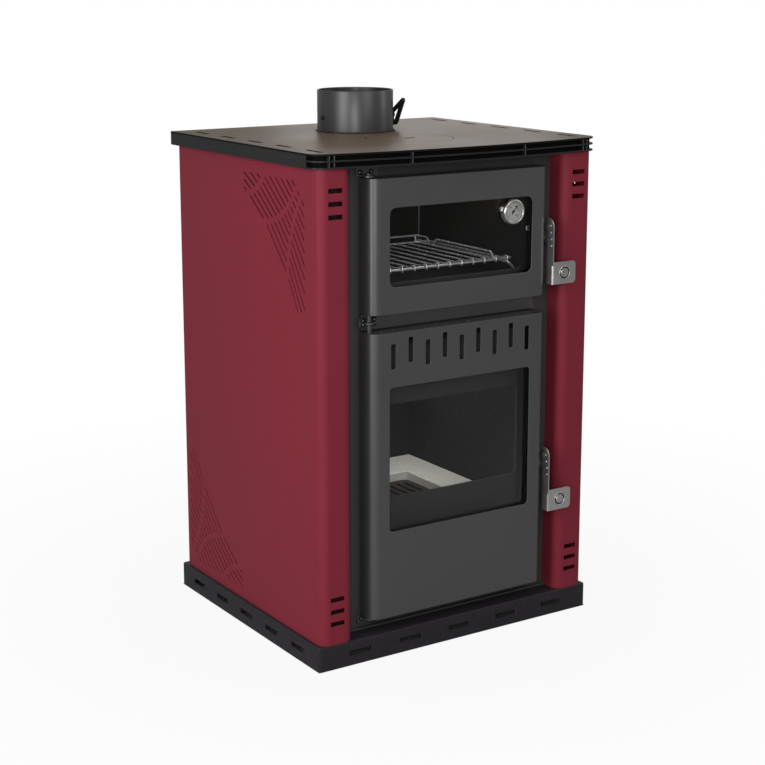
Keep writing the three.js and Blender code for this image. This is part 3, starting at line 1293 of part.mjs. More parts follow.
// A small angle on the frame whose lip lies over the handle's nose
function strike(name, topZ) {
  const bottom = topZ - HANDLE_NOSE_DROP + STRIKE_CLEARANCE;
  const x = [HANDLE_X, HANDLE_X + STRIKE_WIDTH];
  const foot = block(x, [BEFORE_FRAME_Y - STRIKE_SHEET, BEFORE_FRAME_Y], [bottom, bottom + STRIKE_HEIGHT]);
  const lip = block(x, [BEFORE_FRAME_Y - STRIKE_REACH, BEFORE_FRAME_Y], [bottom, bottom + STRIKE_SHEET]);
  return piece(`${name}_strike`, joined(foot, lip), STEEL);
}

function thermometer(glassFrontY) {
  const backY = glassFrontY - GAP;
  const bezelInner = THERMOMETER_RADIUS - BEZEL_WIDTH;
  const wallInner = THERMOMETER_RADIUS - THERMOMETER_WALL;
  const bezelBack = THERMOMETER_FRONT_Y + THERMOMETER_BEZEL;
  const floorY = backY - THERMOMETER_WALL;
  const stemHole = STEM_RADIUS + GAP;
  const profile = [
    [stemHole, floorY],
    [wallInner, floorY],
    [wallInner, bezelBack],
    [bezelInner, bezelBack],
    [bezelInner, THERMOMETER_FRONT_Y],
    [THERMOMETER_RADIUS, THERMOMETER_FRONT_Y],
    [THERMOMETER_RADIUS, backY],
    [stemHole, backY],
    [stemHole, floorY],
  ].map(([r, y]) => new THREE.Vector2(r, y));
  const place = (geometry) => geometry.translate(THERMOMETER_X, 0, THERMOMETER_Z);
  const disc = (radius, y) => place(pinAlongY(0, 0, radius, y, ROUND_SEGMENTS));
  const lensY = [bezelBack + GAP, bezelBack + GAP + LENS_THICKNESS];
  const dialY = [lensY[1] + DIAL_DROP, lensY[1] + DIAL_DROP + DIAL_THICKNESS];
  const hubHole = disc(NEEDLE_HUB_RADIUS + PIN_CLEARANCE, widened(dialY, OVERRUN));
  const needleY = around((lensY[1] + dialY[0]) / 2, NEEDLE_THICKNESS);
  const blade = new THREE.Shape();
  blade.moveTo(-NEEDLE_WIDTH, -NEEDLE_TAIL).lineTo(NEEDLE_WIDTH, -NEEDLE_TAIL).lineTo(0, NEEDLE_LENGTH);
  const hub = pinAlongY(0, 0, NEEDLE_HUB_RADIUS, [needleY[0], needleY[0] + NEEDLE_HUB_DEPTH]);
  const needle = joined(alongY(blade, needleY), hub).rotateY(NEEDLE_ANGLE);
  const dialRadius = wallInner - GAP;
  return [
    piece("thermometer_case", place(new THREE.LatheGeometry(profile, ROUND_SEGMENTS)), STEEL),
    piece("thermometer_lens", disc(dialRadius, lensY), GLASS),
    piece("thermometer_dial", cut(disc(dialRadius, dialY), hubHole), DIAL_WHITE),
    piece("thermometer_needle", place(needle), NEEDLE_BLACK),
    piece("thermometer_stem", disc(STEM_RADIUS, [floorY - THERMOMETER_WALL, DOOR_REAR_Y - STEM_END]), STEEL),
  ];
}

// A hinge bracket: a flange riveted to what is behind it, and a tab that reaches forward to the pin
function hingeBracket(name, backY, flangeZ, tabZ) {
  const flangeY = [backY - BRACKET_SHEET, backY];
  const flange = block(around(BRACKET_X, BRACKET_HALF_WIDTH * 2), flangeY, flangeZ);
  const tab = joined(
    block(around(HINGE_X, TAB_RADIUS * 2), [HINGE_Y, backY], tabZ),
    pinAlongZ(HINGE_X, HINGE_Y, TAB_RADIUS, tabZ, ROUND_SEGMENTS),
  );
  const rivetZ = (flangeZ[0] + flangeZ[1]) / 2;
  const rivets = [BRACKET_X - RIVET_SPREAD, BRACKET_X + RIVET_SPREAD].map((x) =>
    pinAlongY(x, rivetZ, RIVET_RADIUS, [flangeY[0] - RIVET_HEAD, backY - BRACKET_SHEET / 2]),
  );
  const hole = pinAlongZ(HINGE_X, HINGE_Y, HINGE_PIN_RADIUS + GAP, widened(tabZ, OVERRUN));
  return piece(name, cut(joined(flange, tab, ...rivets), hole), DOOR_PAINT);
}

function hingePin(name, z, headZ) {
  const shank = pinAlongZ(HINGE_X, HINGE_Y, HINGE_PIN_RADIUS, z);
  const head = pinAlongZ(HINGE_X, HINGE_Y, HINGE_PIN_HEAD_RADIUS, headZ);
  return piece(name, joined(shank, head), STEEL);
}

function hinges() {
  const topTab = [OVEN_DOOR.top + TAB_GAP, OVEN_DOOR.top + TAB_GAP + BRACKET_SHEET];
  const middleZ = (RAIL_BOTTOM_Z + RAIL_TOP_Z) / 2;
  const middleTab = around(middleZ, BRACKET_SHEET);
  const bottomTab = [FIRE_DOOR.bottom - TAB_GAP - BRACKET_SHEET, FIRE_DOOR.bottom - TAB_GAP];
  const topHead = [topTab[1] + GAP, topTab[1] + GAP + HINGE_PIN_HEAD];
  const middleHead = [middleTab[1] + GAP, middleTab[1] + GAP + HINGE_PIN_HEAD];
  const bottomHead = [bottomTab[0] - GAP - HINGE_PIN_HEAD, bottomTab[0] - GAP];
  const railFront = BEFORE_FRAME_Y - RAIL_THICKNESS - GAP;
  return [
    hingeBracket("top_hinge_bracket", BEFORE_FRAME_Y, [topTab[0], topTab[0] + BRACKET_HEIGHT], topTab),
    hingeBracket("middle_hinge_bracket", railFront, around(middleZ, BRACKET_HEIGHT), middleTab),
    hingeBracket(
      "bottom_hinge_bracket",
      BEFORE_FRAME_Y,
      [bottomTab[1] - BRACKET_HEIGHT, bottomTab[1]],
      bottomTab,
    ),
    hingePin("top_hinge_pin", [OVEN_DOOR.top - HINGE_PIN_BITE, topHead[1]], topHead),
    hingePin(
      "middle_hinge_pin",
      [FIRE_DOOR.top - HINGE_PIN_BITE, OVEN_DOOR.bottom + HINGE_PIN_BITE],
      middleHead,
    ),
    hingePin("bottom_hinge_pin", [bottomHead[0], FIRE_DOOR.bottom + HINGE_PIN_BITE], bottomHead),
  ];
}

function groupOf(...meshes) {
  const group = new THREE.Group();
  group.add(...meshes.flat());
  return group;
}

const casework = groupOf(
  plinth(),
  sidePanels(),
  pillars(),
  backPanel(),
  frontFrame(),
  middleRail(),
  topPlate(),
  frontTrim(),
  innerCasing(),
);
const fireChamber = groupOf(
  hearthPlate(),
  bricks(),
  refractoryBed(),
  fireGrate(),
  smokeBaffle(),
  ashDrawer(),
);
const oven = groupOf(ovenBox(), ovenRack(), runners());
const top = groupOf(cookingLid(), collarAndDamper());
const doors = groupOf(
  ovenDoor(),
  fireDoor(),
  hinges(),
  strike("oven", OVEN_HANDLE_TOP_Z),
  strike("fire", FIRE_HANDLE_TOP_Z),
);

const stove = new THREE.Group();
stove.name = "wood_stove";
stove.add(casework, fireChamber, oven, top, doors);

export default stove;
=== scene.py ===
"""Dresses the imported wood-burning cooker stove: fire below, oven above, hot plate and flue collar on top.

Lengths are in metres, X to the stove's right, -Y to its front and Z up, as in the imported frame. The
sections follow the stove as it is put together, and each holds its pieces' sizes, meshes and finishes.
"""

import math

import bmesh
import bpy
from mathutils import Matrix, Vector


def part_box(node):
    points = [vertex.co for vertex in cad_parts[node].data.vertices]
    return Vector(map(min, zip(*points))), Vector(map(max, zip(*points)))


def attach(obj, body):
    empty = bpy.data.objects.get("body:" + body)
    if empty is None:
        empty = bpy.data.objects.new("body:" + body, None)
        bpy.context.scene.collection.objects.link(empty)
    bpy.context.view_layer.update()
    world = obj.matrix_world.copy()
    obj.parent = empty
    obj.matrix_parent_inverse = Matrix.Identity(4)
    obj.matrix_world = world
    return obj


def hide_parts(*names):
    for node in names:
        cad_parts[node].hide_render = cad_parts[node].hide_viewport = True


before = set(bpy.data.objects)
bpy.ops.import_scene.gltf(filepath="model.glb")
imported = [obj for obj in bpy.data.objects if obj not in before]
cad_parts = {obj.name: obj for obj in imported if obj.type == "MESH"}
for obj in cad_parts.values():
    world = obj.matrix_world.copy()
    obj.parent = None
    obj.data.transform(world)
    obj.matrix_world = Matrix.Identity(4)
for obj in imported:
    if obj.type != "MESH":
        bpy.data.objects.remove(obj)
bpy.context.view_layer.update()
scene = bpy.context.scene


# The plinth: sheet steel folded into a skirt with a deck and a foot flange, punched with long slots and
# sprayed satin black, a little rubbed and speckled with ash.


def sign(operation, reflected=False):
    """What a sign does with a shade: it adds a node that works it out, the other way round where reflected."""

    def worked_out(shade, other=0.0):
        pair = (other, shade) if reflected else (shade, other)
        return shade.finish.node("ShaderNodeMath", {"operation": operation}, dict(enumerate(pair)))

    return worked_out


class Shade:
    """One output of a node, which can stand in a sum, such as 1 - shade."""

    def __init__(self, finish, socket):
        self.finish = finish
        self.socket = socket

    __add__ = __radd__ = sign("ADD")
    __sub__ = sign("SUBTRACT")
    __rsub__ = sign("SUBTRACT", reflected=True)
    __mul__ = __rmul__ = sign("MULTIPLY")
    __gt__ = sign("GREATER_THAN")
    __lt__ = sign("LESS_THAN")
    __or__ = sign("MAXIMUM")
    __abs__ = sign("ABSOLUTE")


class Finish:
    """The nodes of a material or of the world, added one at a time."""

    def __init__(self, owner):
        owner.use_nodes = True
        self.owner = owner
        self.nodes = owner.node_tree.nodes
        self.links = owner.node_tree.links
        self.nodes.clear()

    def node(self, kind, settings, sockets, output=0):
        made = self.nodes.new(kind)
        for key, value in settings.items():
            setattr(made, key, value)
        for key, value in sockets.items():
            if isinstance(value, Shade):
                self.links.new(value.socket, made.inputs[key])
            else:
                made.inputs[key].default_value = value
        return Shade(self, made.outputs[output]) if made.outputs else None

    def end(self, shader, kind="ShaderNodeOutputMaterial"):
        self.node(kind, {}, {"Surface": shader})
        return self.owner

    def surface(self, colour, roughness, normal=None, shine=0.5, metal=0.0, alpha=1.0):
        sockets = {"Base Color": colour, "Roughness": roughness, "Metallic": metal, "Alpha": alpha}
        sockets["Specular IOR Level"] = shine
        if normal:
            sockets["Normal"] = normal
        return self.end(self.node("ShaderNodeBsdfPrincipled", {}, sockets))

    def place(self):
        return self.node("ShaderNodeTexCoord", {}, {}, "Object")

    def stretched(self, scale):
        return self.node("ShaderNodeMapping", {}, {"Vector": self.place(), "Scale": scale})

    def noise(self, vector, scale, detail=2.0):
        sockets = {"Vector": vector, "Scale": scale, "Detail": detail}
        return self.node("ShaderNodeTexNoise", {}, sockets, "Fac")

    def cells(self, vector, scale):
        return self.node("ShaderNodeTexVoronoi", {}, {"Vector": vector, "Scale": scale}, "Distance")

    def mixed(self, share, first, second):
        sockets = {0: share, 6: first, 7: second}
        return self.node("ShaderNodeMix", {"data_type": "RGBA"}, sockets, 2)

    def shaded(self, share, colour, darker, lighter):
        return self.mixed(share, dimmed(colour, darker), dimmed(colour, lighter))

    def bump(self, height, depth):
        return self.node("ShaderNodeBump", {}, {"Height": height, "Distance": depth})


def new_finish(name):
    """The nodes of a new material, and the place on the piece that its noises start from."""
    finish = Finish(bpy.data.materials.new(name))
    return finish, finish.place()


def eye(red, green, blue):
    """A colour as the eye reads it, from 0 to 255, in the shader's linear numbers."""
    shares = [channel / 255 for channel in (red, green, blue)]
    return (*[((s + 0.055) / 1.055) ** 2.4 if s > 0.04 else s / 12.92 for s in shares], 1.0)


def dimmed(colour, share):
    return (*[channel * share for channel in colour[:3]], 1.0)


def painted(name, colour, roughness, grain=0.0012, depth=0.0001, shine=0.2, mottle=0.12, speckle=0.0):
    """Sprayed paint: a fine orange-peel grain and slow changes of tone, and specks of ash where asked."""
    finish, place = new_finish(name)
    fine = finish.noise(place, 1 / grain, 3.0)
    broad = finish.noise(place, 7.0)
    tone = finish.shaded(broad, colour, 1 - mottle, 1 + mottle)
    if speckle:
        specks = finish.noise(place, 520.0, 1.0) > 0.68
        tone = finish.mixed(specks * speckle, tone, eye(150, 150, 150))
    rough = roughness + (broad - 0.5) * 0.16 + (fine - 0.5) * 0.1
    return finish.surface(tone, rough, finish.bump(fine, depth), shine=shine)


def box_between(bm, low, high):
    """A closed box from its lowest to its highest corner. Returns its vertices."""
    verts = bmesh.ops.create_cube(bm, size=1.0)["verts"]
    low, high = Vector(low), Vector(high)
    bmesh.ops.scale(bm, verts=verts, vec=high - low)
    bmesh.ops.translate(bm, verts=verts, vec=(low + high) / 2)
    return verts


def edges_along(verts, axis):
    """The edges of these vertices that lie along an axis, 0 for X to 2 for Z."""
    edges = {edge for vert in verts for edge in vert.link_edges}
    return [e for e in edges if abs((e.verts[0].co - e.verts[1].co).normalized()[axis]) > 0.99]


def round_edges(bm, edges, radius, steps):
    bmesh.ops.bevel(bm, geom=edges, offset=radius, segments=steps, profile=0.5, affect="EDGES", material=-1)


def block(low, high, corner=0.0, steps=6):
    """A closed box of its own, with round upright edges where asked."""
    bm = bmesh.new()
    verts = box_between(bm, low, high)
    if corner:
        round_edges(bm, edges_along(verts, 2), corner, steps)
    return bm


def add(bm, other):
    """Puts another mesh into this one, and uses it up."""
    mesh = bpy.data.meshes.new("work")
    other.to_mesh(mesh)
    other.free()
    bm.from_mesh(mesh)
    bpy.data.meshes.remove(mesh)


def punch(bm, centre, size, corner, through, along):
    """A punch for a slot of this length, width and depth, with eased corners, added about a centre."""
    tool = block(*[[side * length / 2 for length in size] for side in (-1, 1)], corner)
    along, through = Vector(along).normalized(), Vector(through).normalized()
    turn = Matrix((along, through.cross(along), through)).transposed().to_4x4()
    bmesh.ops.transform(tool, matrix=Matrix.Translation(centre) @ turn, verts=tool.verts)
    add(bm, tool)


def finished_mesh(obj):
    """The mesh of an object as its modifiers or its curve's own settings leave it."""
    evaluated = obj.evaluated_get(bpy.context.evaluated_depsgraph_get())
    bm = bmesh.new()
    bm.from_mesh(evaluated.to_mesh())
    evaluated.to_mesh_clear()
    return bm


def from_curve(curve):
    """The mesh of a bevelled curve or of a text, which is used up."""
    holder = bpy.data.objects.new("work", curve)
    scene.collection.objects.link(holder)
    bm = finished_mesh(holder)
    bpy.data.objects.remove(holder)
    bpy.data.curves.remove(curve)
    return bm


def joined_points(bm):
    """Makes one point of those that lie on each other."""
    bmesh.ops.remove_doubles(bm, verts=bm.verts, dist=1e-6)


def placed(name, bm):
    """An object of this mesh, which is used up, in the scene."""
    mesh = bpy.data.meshes.new(name)
    bm.to_mesh(mesh)
    bm.free()
    obj = bpy.data.objects.new(name, mesh)
    scene.collection.objects.link(obj)
    return obj


def combined(first, second, operation):
    """Two closed meshes joined, or one cut by or kept inside the other. Both are used up."""
    work = [placed("work", bm) for bm in (first, second)]
    modifier = work[0].modifiers.new("combine", "BOOLEAN")
    modifier.operation = operation
    modifier.object = work[1]
    modifier.solver = "EXACT"
    result = finished_mesh(work[0])
    for obj in work:
        mesh = obj.data
        bpy.data.objects.remove(obj)
        bpy.data.meshes.remove(mesh)
    joined_points(result)
    return result


def cut(bm, tool):
    return combined(bm, tool, "DIFFERENCE")


def broken_edges(obj, width, angle, harden):
    """Rounds a piece's sharp edges by a hair, as a file or the paint does."""
    bevel = obj.modifiers.new("broken_edges", "BEVEL")
    bevel.width = width
    bevel.segments = 2
    bevel.limit_method = "ANGLE"
    bevel.angle_limit = math.radians(angle)
    bevel.harden_normals = harden


def piece(name, bm, body, material, replaces=(), edge=0.0, edge_angle=35):
    """A finished piece of the stove, which rides on a body and takes the finish it is given."""
    obj = placed(name, bm)
    mesh = obj.data
    mesh.materials.append(material)
    mesh.polygons.foreach_set("use_smooth", [True] * len(mesh.polygons))
    if edge:
        broken_edges(obj, edge, edge_angle, True)
    else:
        mesh.set_sharp_from_angle(angle=math.radians(edge_angle))
    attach(obj, body)
    if replaces:
        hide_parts(*replaces)


plinth_paint = painted(
    "ashy_satin_black", eye(41, 38, 43),
    roughness=0.44, grain=0.0011, depth=0.00012, speckle=0.10,
)
SKIRT = 0.003
FOOT_FLANGE = 0.016
PLINTH_CORNER, DECK_EDGE = 0.006, 0.0022
PLINTH_SLOT, SLOT_EASE = (0.041, 0.0084, 0.012), 0.0014
FRONT_PITCH, SIDE_PITCH = 0.0965, 0.086
low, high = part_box("plinth")
plinth = block(low, high, PLINTH_CORNER)
deck_rim = [e for e in plinth.edges if all(abs(v.co.z - high.z) < 1e-6 for v in e.verts)]
round_edges(plinth, deck_rim, DECK_EDGE, 4)
hollow = block((low.x + SKIRT, low.y + SKIRT, SKIRT), (high.x - SKIRT, high.y - SKIRT, high.z - SKIRT))
plinth = cut(plinth, hollow)
holes = block(
    (low.x + FOOT_FLANGE, low.y + FOOT_FLANGE, -SKIRT),
    (high.x - FOOT_FLANGE, high.y - FOOT_FLANGE, SKIRT * 1.5),
)
slot_z = high.z / 2
middle_y = (low.y + high.y) / 2
for step in range(-2, 3):
    for wall_y in (low.y, high.y):
        punch(holes, (step * FRONT_PITCH, wall_y, slot_z), PLINTH_SLOT, SLOT_EASE, (0, 1, 0), (1, 0, 0))
    for wall_x in (low.x, high.x):
        centre = (wall_x, middle_y + step * SIDE_PITCH, slot_z)
        punch(holes, centre, PLINTH_SLOT, SLOT_EASE, (1, 0, 0), (0, 1, 0))
plinth = cut(plinth, holes)
piece("plinth_skirt_and_deck", plinth, "stove_body", plinth_paint, ["plinth"], edge=0.0004)


# The side panels: thin sheet with its front and back edges folded in, two groups of slanted vent slots
# each, and a coat of fine-textured burgundy paint.


def outward(bm):
    bmesh.ops.recalc_face_normals(bm, faces=bm.faces)


def folded(path, low_z, high_z, bend, sheet, steps):
    """Sheet folded along a path seen from above, outer face on the path and the thickness to its left."""
    bm = bmesh.new()
    verts = [bm.verts.new((x, y, low_z)) for x, y in path]
    edges = [bm.edges.new(pair) for pair in zip(verts, verts[1:])]
    lifted = bmesh.ops.extrude_edge_only(bm, edges=edges)["geom"]
    lifted = [v for v in lifted if isinstance(v, bmesh.types.BMVert)]
    bmesh.ops.translate(bm, verts=lifted, vec=(0, 0, high_z - low_z))
    folds = [e for e in bm.edges if len(e.link_faces) == 2]
    round_edges(bm, folds, bend, steps)
    outward(bm)
    first = min(bm.faces, key=lambda f: (f.calc_center_median().to_2d() - Vector(path[0])).length)
    way = Vector(path[1]) - Vector(path[0])
    if first.normal.x * -way.y + first.normal.y * way.x > 0:
        bmesh.ops.reverse_faces(bm, faces=bm.faces)
    bmesh.ops.solidify(bm, geom=bm.faces, thickness=sheet)
    outward(bm)
    return bm


def mirrored(bm):
    """A copy on the stove's other side."""
    copy = bm.copy()
    bmesh.ops.scale(copy, verts=copy.verts, vec=(-1, 1, 1))
    bmesh.ops.reverse_faces(copy, faces=copy.faces)
    return copy


def red_pair(name, old_name, right, edge):
    """The red sheets of both sides, made of the right one."""
    for hand, shape in (("left", mirrored(right)), ("right", right)):
        piece(f"{hand}_{name}", shape, "stove_body", red_paint, [f"{hand}_{old_name}"], edge)


red_paint = painted(
    "burgundy_texture_paint", eye(130, 42, 56),
    roughness=0.46, grain=0.0008, depth=0.00012, shine=0.14, mottle=0.05,
)
VENT_CORNER = (-0.211, 0.793)  # the panel's upper front corner, from which the vents are measured
VENT_RADIUS = 0.3903
VENT_CENTRE = (0.4015, 0.3922)
VENT_ARCS, VENT_PITCH = 11, 0.0111
VENT_BACK, VENT_DOWN = (0.027, 0.216), (0.023, 0.225)  # how far back and down the group reaches
VENT_BANDS = ((0.2206, -0.0289, 0.0882), (0.1614, -0.0323, 0.1294), (-0.1694, 0.1869, 0.2495))
BAND_HALF_WIDTH = 0.0045  # the plain bands that cross the slots follow three circles
SHORTEST_VENT = 0.004


def vent_runs():
    """The ends of each slot of the upper group, as lengths back and down from the corner."""
    runs = []
    for arc in range(VENT_ARCS):
        radius = VENT_RADIUS + arc * VENT_PITCH
        run = []
        for tenth in range(900, 1801):
            angle = math.radians(tenth / 10)
            back = VENT_CENTRE[0] + radius * math.cos(angle)
            down = VENT_CENTRE[1] - radius * math.sin(angle)
            inside = VENT_BACK[0] <= back <= VENT_BACK[1] and VENT_DOWN[0] <= down <= VENT_DOWN[1]
            from_bands = [abs(math.hypot(back - b, down - d) - r) for b, d, r in VENT_BANDS]
            if inside and min(from_bands) >= BAND_HALF_WIDTH:
                run.append((back, down))
            elif run:
                runs.append((run[0], run[-1]))
                run = []
    return [ends for ends in runs if math.dist(*ends) >= SHORTEST_VENT]


low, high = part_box("right_side_panel")
FLANGE = 0.012
SIDE_BEND, THIN_SHEET = 0.0022, 0.0015
LOWER_VENTS_BACK, LOWER_VENTS_FOOT = 0.013, 0.035
VENT_WIDTH, VENT_EASE = 0.003, 0.0006
PAST = 0.01  # how far a cutter passes the sheet
panel = folded(
    [(high.x - FLANGE, low.y), (high.x, low.y), (high.x, high.y), (high.x - FLANGE, high.y)],
    low.z, high.z, SIDE_BEND, THIN_SHEET, 4,
)
notch_foot = VENT_CORNER[1] - 0.0003  # the front flange stops under the trim
vents = block((0.2, low.y - PAST, notch_foot), (0.3, low.y + FLANGE, high.z + PAST))
for ends in vent_runs():
    places = (
        [Vector((high.x, VENT_CORNER[0] + b, VENT_CORNER[1] - d)) for b, d in ends],
        [Vector((high.x, high.y + LOWER_VENTS_BACK - b, LOWER_VENTS_FOOT + d)) for b, d in ends],
    )
    for one, other in places:
        size = ((one - other).length + 0.001, VENT_WIDTH, 0.008)
        punch(vents, (one + other) / 2, size, VENT_EASE, (1, 0, 0), other - one)
panel = cut(panel, vents)
red_pair("vented_side", "side_panel", panel, 0.0003)


# The front pillars: the same sheet and paint, bent round large radii at both edges, with three slots near
# each end.

PILLAR_BEND, PILLAR_LIP = 0.016, 0.0163
PILLAR_SLOT, PILLAR_SLOT_PITCH = (0.0255, 0.0075, 0.010), 0.020
low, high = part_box("right_front_pillar")
pillar = folded(
    [(low.x, high.y), (low.x, low.y), (high.x, low.y), (high.x, low.y + PILLAR_LIP)],
    low.z, high.z, PILLAR_BEND, THIN_SHEET, 14,
)
slots = bmesh.new()
for group_z in (0.095, 0.740):
    for step in (-1, 0, 1):
        centre = ((low.x + high.x) / 2, low.y, group_z + step * PILLAR_SLOT_PITCH)
        punch(slots, centre, PILLAR_SLOT, SLOT_EASE, (0, 1, 0), (1, 0, 0))
pillar = cut(pillar, slots)
red_pair("bent_pillar", "front_pillar", pillar, 0.0004)


# The inner casing, the front frame and the back panel: welded plate in dull dark paint. The back panel is
# held by small pan-headed screws.


def kept(node, material, edge=0.0):
    """A welded or folded part that stays as the frame has it, with its finish and broken edges."""
    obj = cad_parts[node]
    if not obj.material_slots:
        obj.data.materials.append(material)
    for slot in obj.material_slots:
        slot.material = material
    if edge:
        weld = obj.modifiers.new("closed", "WELD")
        weld.merge_threshold = 1e-5
        broken_edges(obj, edge, 40, False)


def turned(profile, centre, axis, steps=48):
    """A round piece, turned from a line of radius and height about an axis."""
    bm = bmesh.new()
    verts = [bm.verts.new((radius, 0, height)) for radius, height in profile]
    geom = verts + [bm.edges.new(pair) for pair in zip(verts, verts[1:])]
    bmesh.ops.spin(bm, geom=geom, axis=(0, 0, 1), angle=math.tau, steps=steps, use_merge=True)
    joined_points(bm)
    outward(bm)
    turn = Vector((0, 0, 1)).rotation_difference(Vector(axis)).to_matrix().to_4x4()
    bmesh.ops.transform(bm, matrix=Matrix.Translation(centre) @ turn, verts=bm.verts)
    return bm


def brushed(name, colour, roughness, fine, along=2):
    """Ground steel: long fine scratches along X, Y or Z (0 to 2), which move the shine and tone a little."""
    finish, place = new_finish(name)
    stretch = [1.0, 1.0, 1.0]
    stretch[along] = 0.03
    lines = finish.noise(finish.stretched(stretch), 1 / fine, 4.0)
    cloud = finish.noise(place, 60.0)
    tone = finish.shaded(lines, colour, 0.78, 1)
    rough = roughness + (lines - 0.5) * 0.22 + (cloud - 0.5) * 0.12
    return finish.surface(tone, rough, finish.bump(lines, 0.00003), metal=1.0)


frame_paint = painted("dull_frame_paint", eye(72, 71, 70), roughness=0.5, grain=0.0010, shine=0.14)
soot = painted(
    "sooty_plate", eye(34, 32, 31),
    roughness=0.8, grain=0.0030, depth=0.00040, shine=0.1, mottle=0.25,
)
kept("front_frame", frame_paint, 0.0008)
kept("inner_casing", soot)
kept("back_panel", plinth_paint, 0.0003)

SCREW_HEAD = 0.0036
back_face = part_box("back_panel")[1].y
screw_profile = [
    (0, 0.0014), (0.0012, 0.0014), (0.0014, 0.0020), (0.0024, 0.0017), (SCREW_HEAD, 0.0008),
    (SCREW_HEAD, -0.0004), (0, -0.0004),
]
screws = bmesh.new()
screw_places = [(x, z) for x in (-0.250, -0.085, 0.085, 0.250) for z in (0.055, 0.80)]
screw_places += [(x, z) for x in (-0.250, 0.250) for z in (0.24, 0.42, 0.60)]
for screw_x, screw_z in screw_places:
    add(screws, turned(screw_profile, (screw_x, back_face, screw_z), (0, 1, 0), 16))
steel = brushed("brushed_steel", eye(176, 176, 178), roughness=0.30, fine=0.0006)
piece("back_panel_screws", screws, "stove_body", steel)


# The hearth: a welded plate, smooth firebrick panels on three sides, dark with soot, and a pale cast bed
# with a sunk iron grate. A plate above turns the smoke back under the oven.


def smoked_clay(name, colour):
    """Pressed firebrick: smooth and faintly pitted, blackened unevenly by smoke."""
    finish, place = new_finish(name)
    pits = finish.cells(place, 170.0) < 0.10
    smoke = finish.noise(place, 8.0, 5.0)
    grain = finish.noise(place, 420.0, 4.0)
    tone = finish.shaded(smoke, colour, 0.7, 1.25)
    pitted = finish.mixed(pits * 0.15, tone, dimmed(colour, 0.3))
    return finish.surface(pitted, 0.86 + (grain - 0.5) * 0.2, finish.bump(grain, 0.00001), shine=0.15)


def cast_clay(name, colour):
    """Cast refractory: pale, with grey blotches, grit and small pits."""
    finish, place = new_finish(name)
    blotch = finish.noise(place, 34.0, 5.0)
    grit = finish.noise(place, 420.0, 4.0)
    pits = finish.cells(place, 95.0) < 0.16
    tone = finish.shaded(blotch, colour, 0.82, 1.05)
    speckled = finish.mixed((grit > 0.60) * 0.35, tone, dimmed(colour, 0.5))
    pitted = finish.mixed(pits * 0.4, speckled, dimmed(colour, 0.4))
    relief = finish.bump(grit * 0.5 + blotch - pits * 0.8, 0.0009)
    return finish.surface(pitted, 0.88 + (grit - 0.5) * 0.15, relief)


def cast_iron(name, colour):
    """Sand-cast iron: a coarse skin, dull, with rust showing in the hollows."""
    finish, place = new_finish(name)
    sand = finish.noise(place, 700.0, 5.0)
    rust = finish.noise(place, 30.0, 5.0) > 0.58
    tone = finish.mixed(rust * 0.35, colour, eye(84, 62, 52))
    return finish.surface(tone, 0.66 + (sand - 0.5) * 0.3, finish.bump(sand, 0.00035), metal=0.25)


brick = smoked_clay("smoked_firebrick", eye(47, 46, 45))
bed_clay = cast_clay("pale_refractory", eye(240, 238, 228))
iron = cast_iron("cast_iron", eye(70, 62, 60))
for node in ("left_firebrick", "right_firebrick", "back_firebrick"):
    kept(node, brick, 0.0020)
kept("hearth_plate", soot)
kept("smoke_baffle", soot)
kept("fire_grate", iron, 0.0012)

low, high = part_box("refractory_bed")
grate_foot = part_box("fire_grate")[0].z
WELL_LOW, WELL_HIGH = Vector((-0.08085, -0.085)), Vector((0.08085, 0.048))
WELL_CORNER = 0.004
LEDGE = 0.009
FIT = 0.0003  # the gap at which two pieces that rest on each other are drawn
well = block((*WELL_LOW, grate_foot - FIT), (*WELL_HIGH, high.z + PAST), WELL_CORNER, 4)
bed = cut(block(low, high), well)
step_in = Vector((LEDGE, LEDGE))
fall = block((*(WELL_LOW + step_in), low.z - PAST), (*(WELL_HIGH - step_in), high.z + PAST))
bed = cut(bed, fall)
piece("cast_hearth_bed", bed, "stove_body", bed_clay, ["refractory_bed"], edge=0.0014)


# The ash drawer: a folded steel tray with a short pull, under the grate.

tray_steel = brushed("ashy_tray_steel", eye(110, 108, 104), roughness=0.45, fine=0.0011, along=0)
kept("ash_drawer", tray_steel, 0.0006)


# The oven: an enamelled steel box with a welded corner, and a sliding rack on wire runners. The rack's
# cross wires are curled over its heavy front wire, and a raised rim runs round its back.


def bent_wire(paths, radius, bend, closed=False, fineness=2):
    """Round wire along each path, its corners eased over the bend's length."""
    curve = bpy.data.curves.new("work", "CURVE")
    curve.dimensions = "3D"
    curve.bevel_depth = radius
    curve.bevel_resolution = fineness
    curve.resolution_u = 6
    curve.use_fill_caps = True
    for path in paths:
        points = [Vector(p) for p in path]
        eased = []
        for i, point in enumerate(points):
            if not closed and i in (0, len(points) - 1):
                eased.append(point)
                continue
            before, after = points[i - 1], points[(i + 1) % len(points)]
            reach = min(bend, (before - point).length * 0.45, (after - point).length * 0.45)
            eased.append(point + (before - point).normalized() * reach)
            eased.append(point)
            eased.append(point + (after - point).normalized() * reach)
        spline = curve.splines.new("NURBS")
        spline.points.add(len(eased) - 1)
        for target, point in zip(spline.points, eased):
            target.co = (*point, 1.0)
        spline.order_u = 3
        spline.use_endpoint_u = not closed
        spline.use_cyclic_u = closed
    bm = from_curve(curve)
    joined_points(bm)
    outward(bm)
    return bm


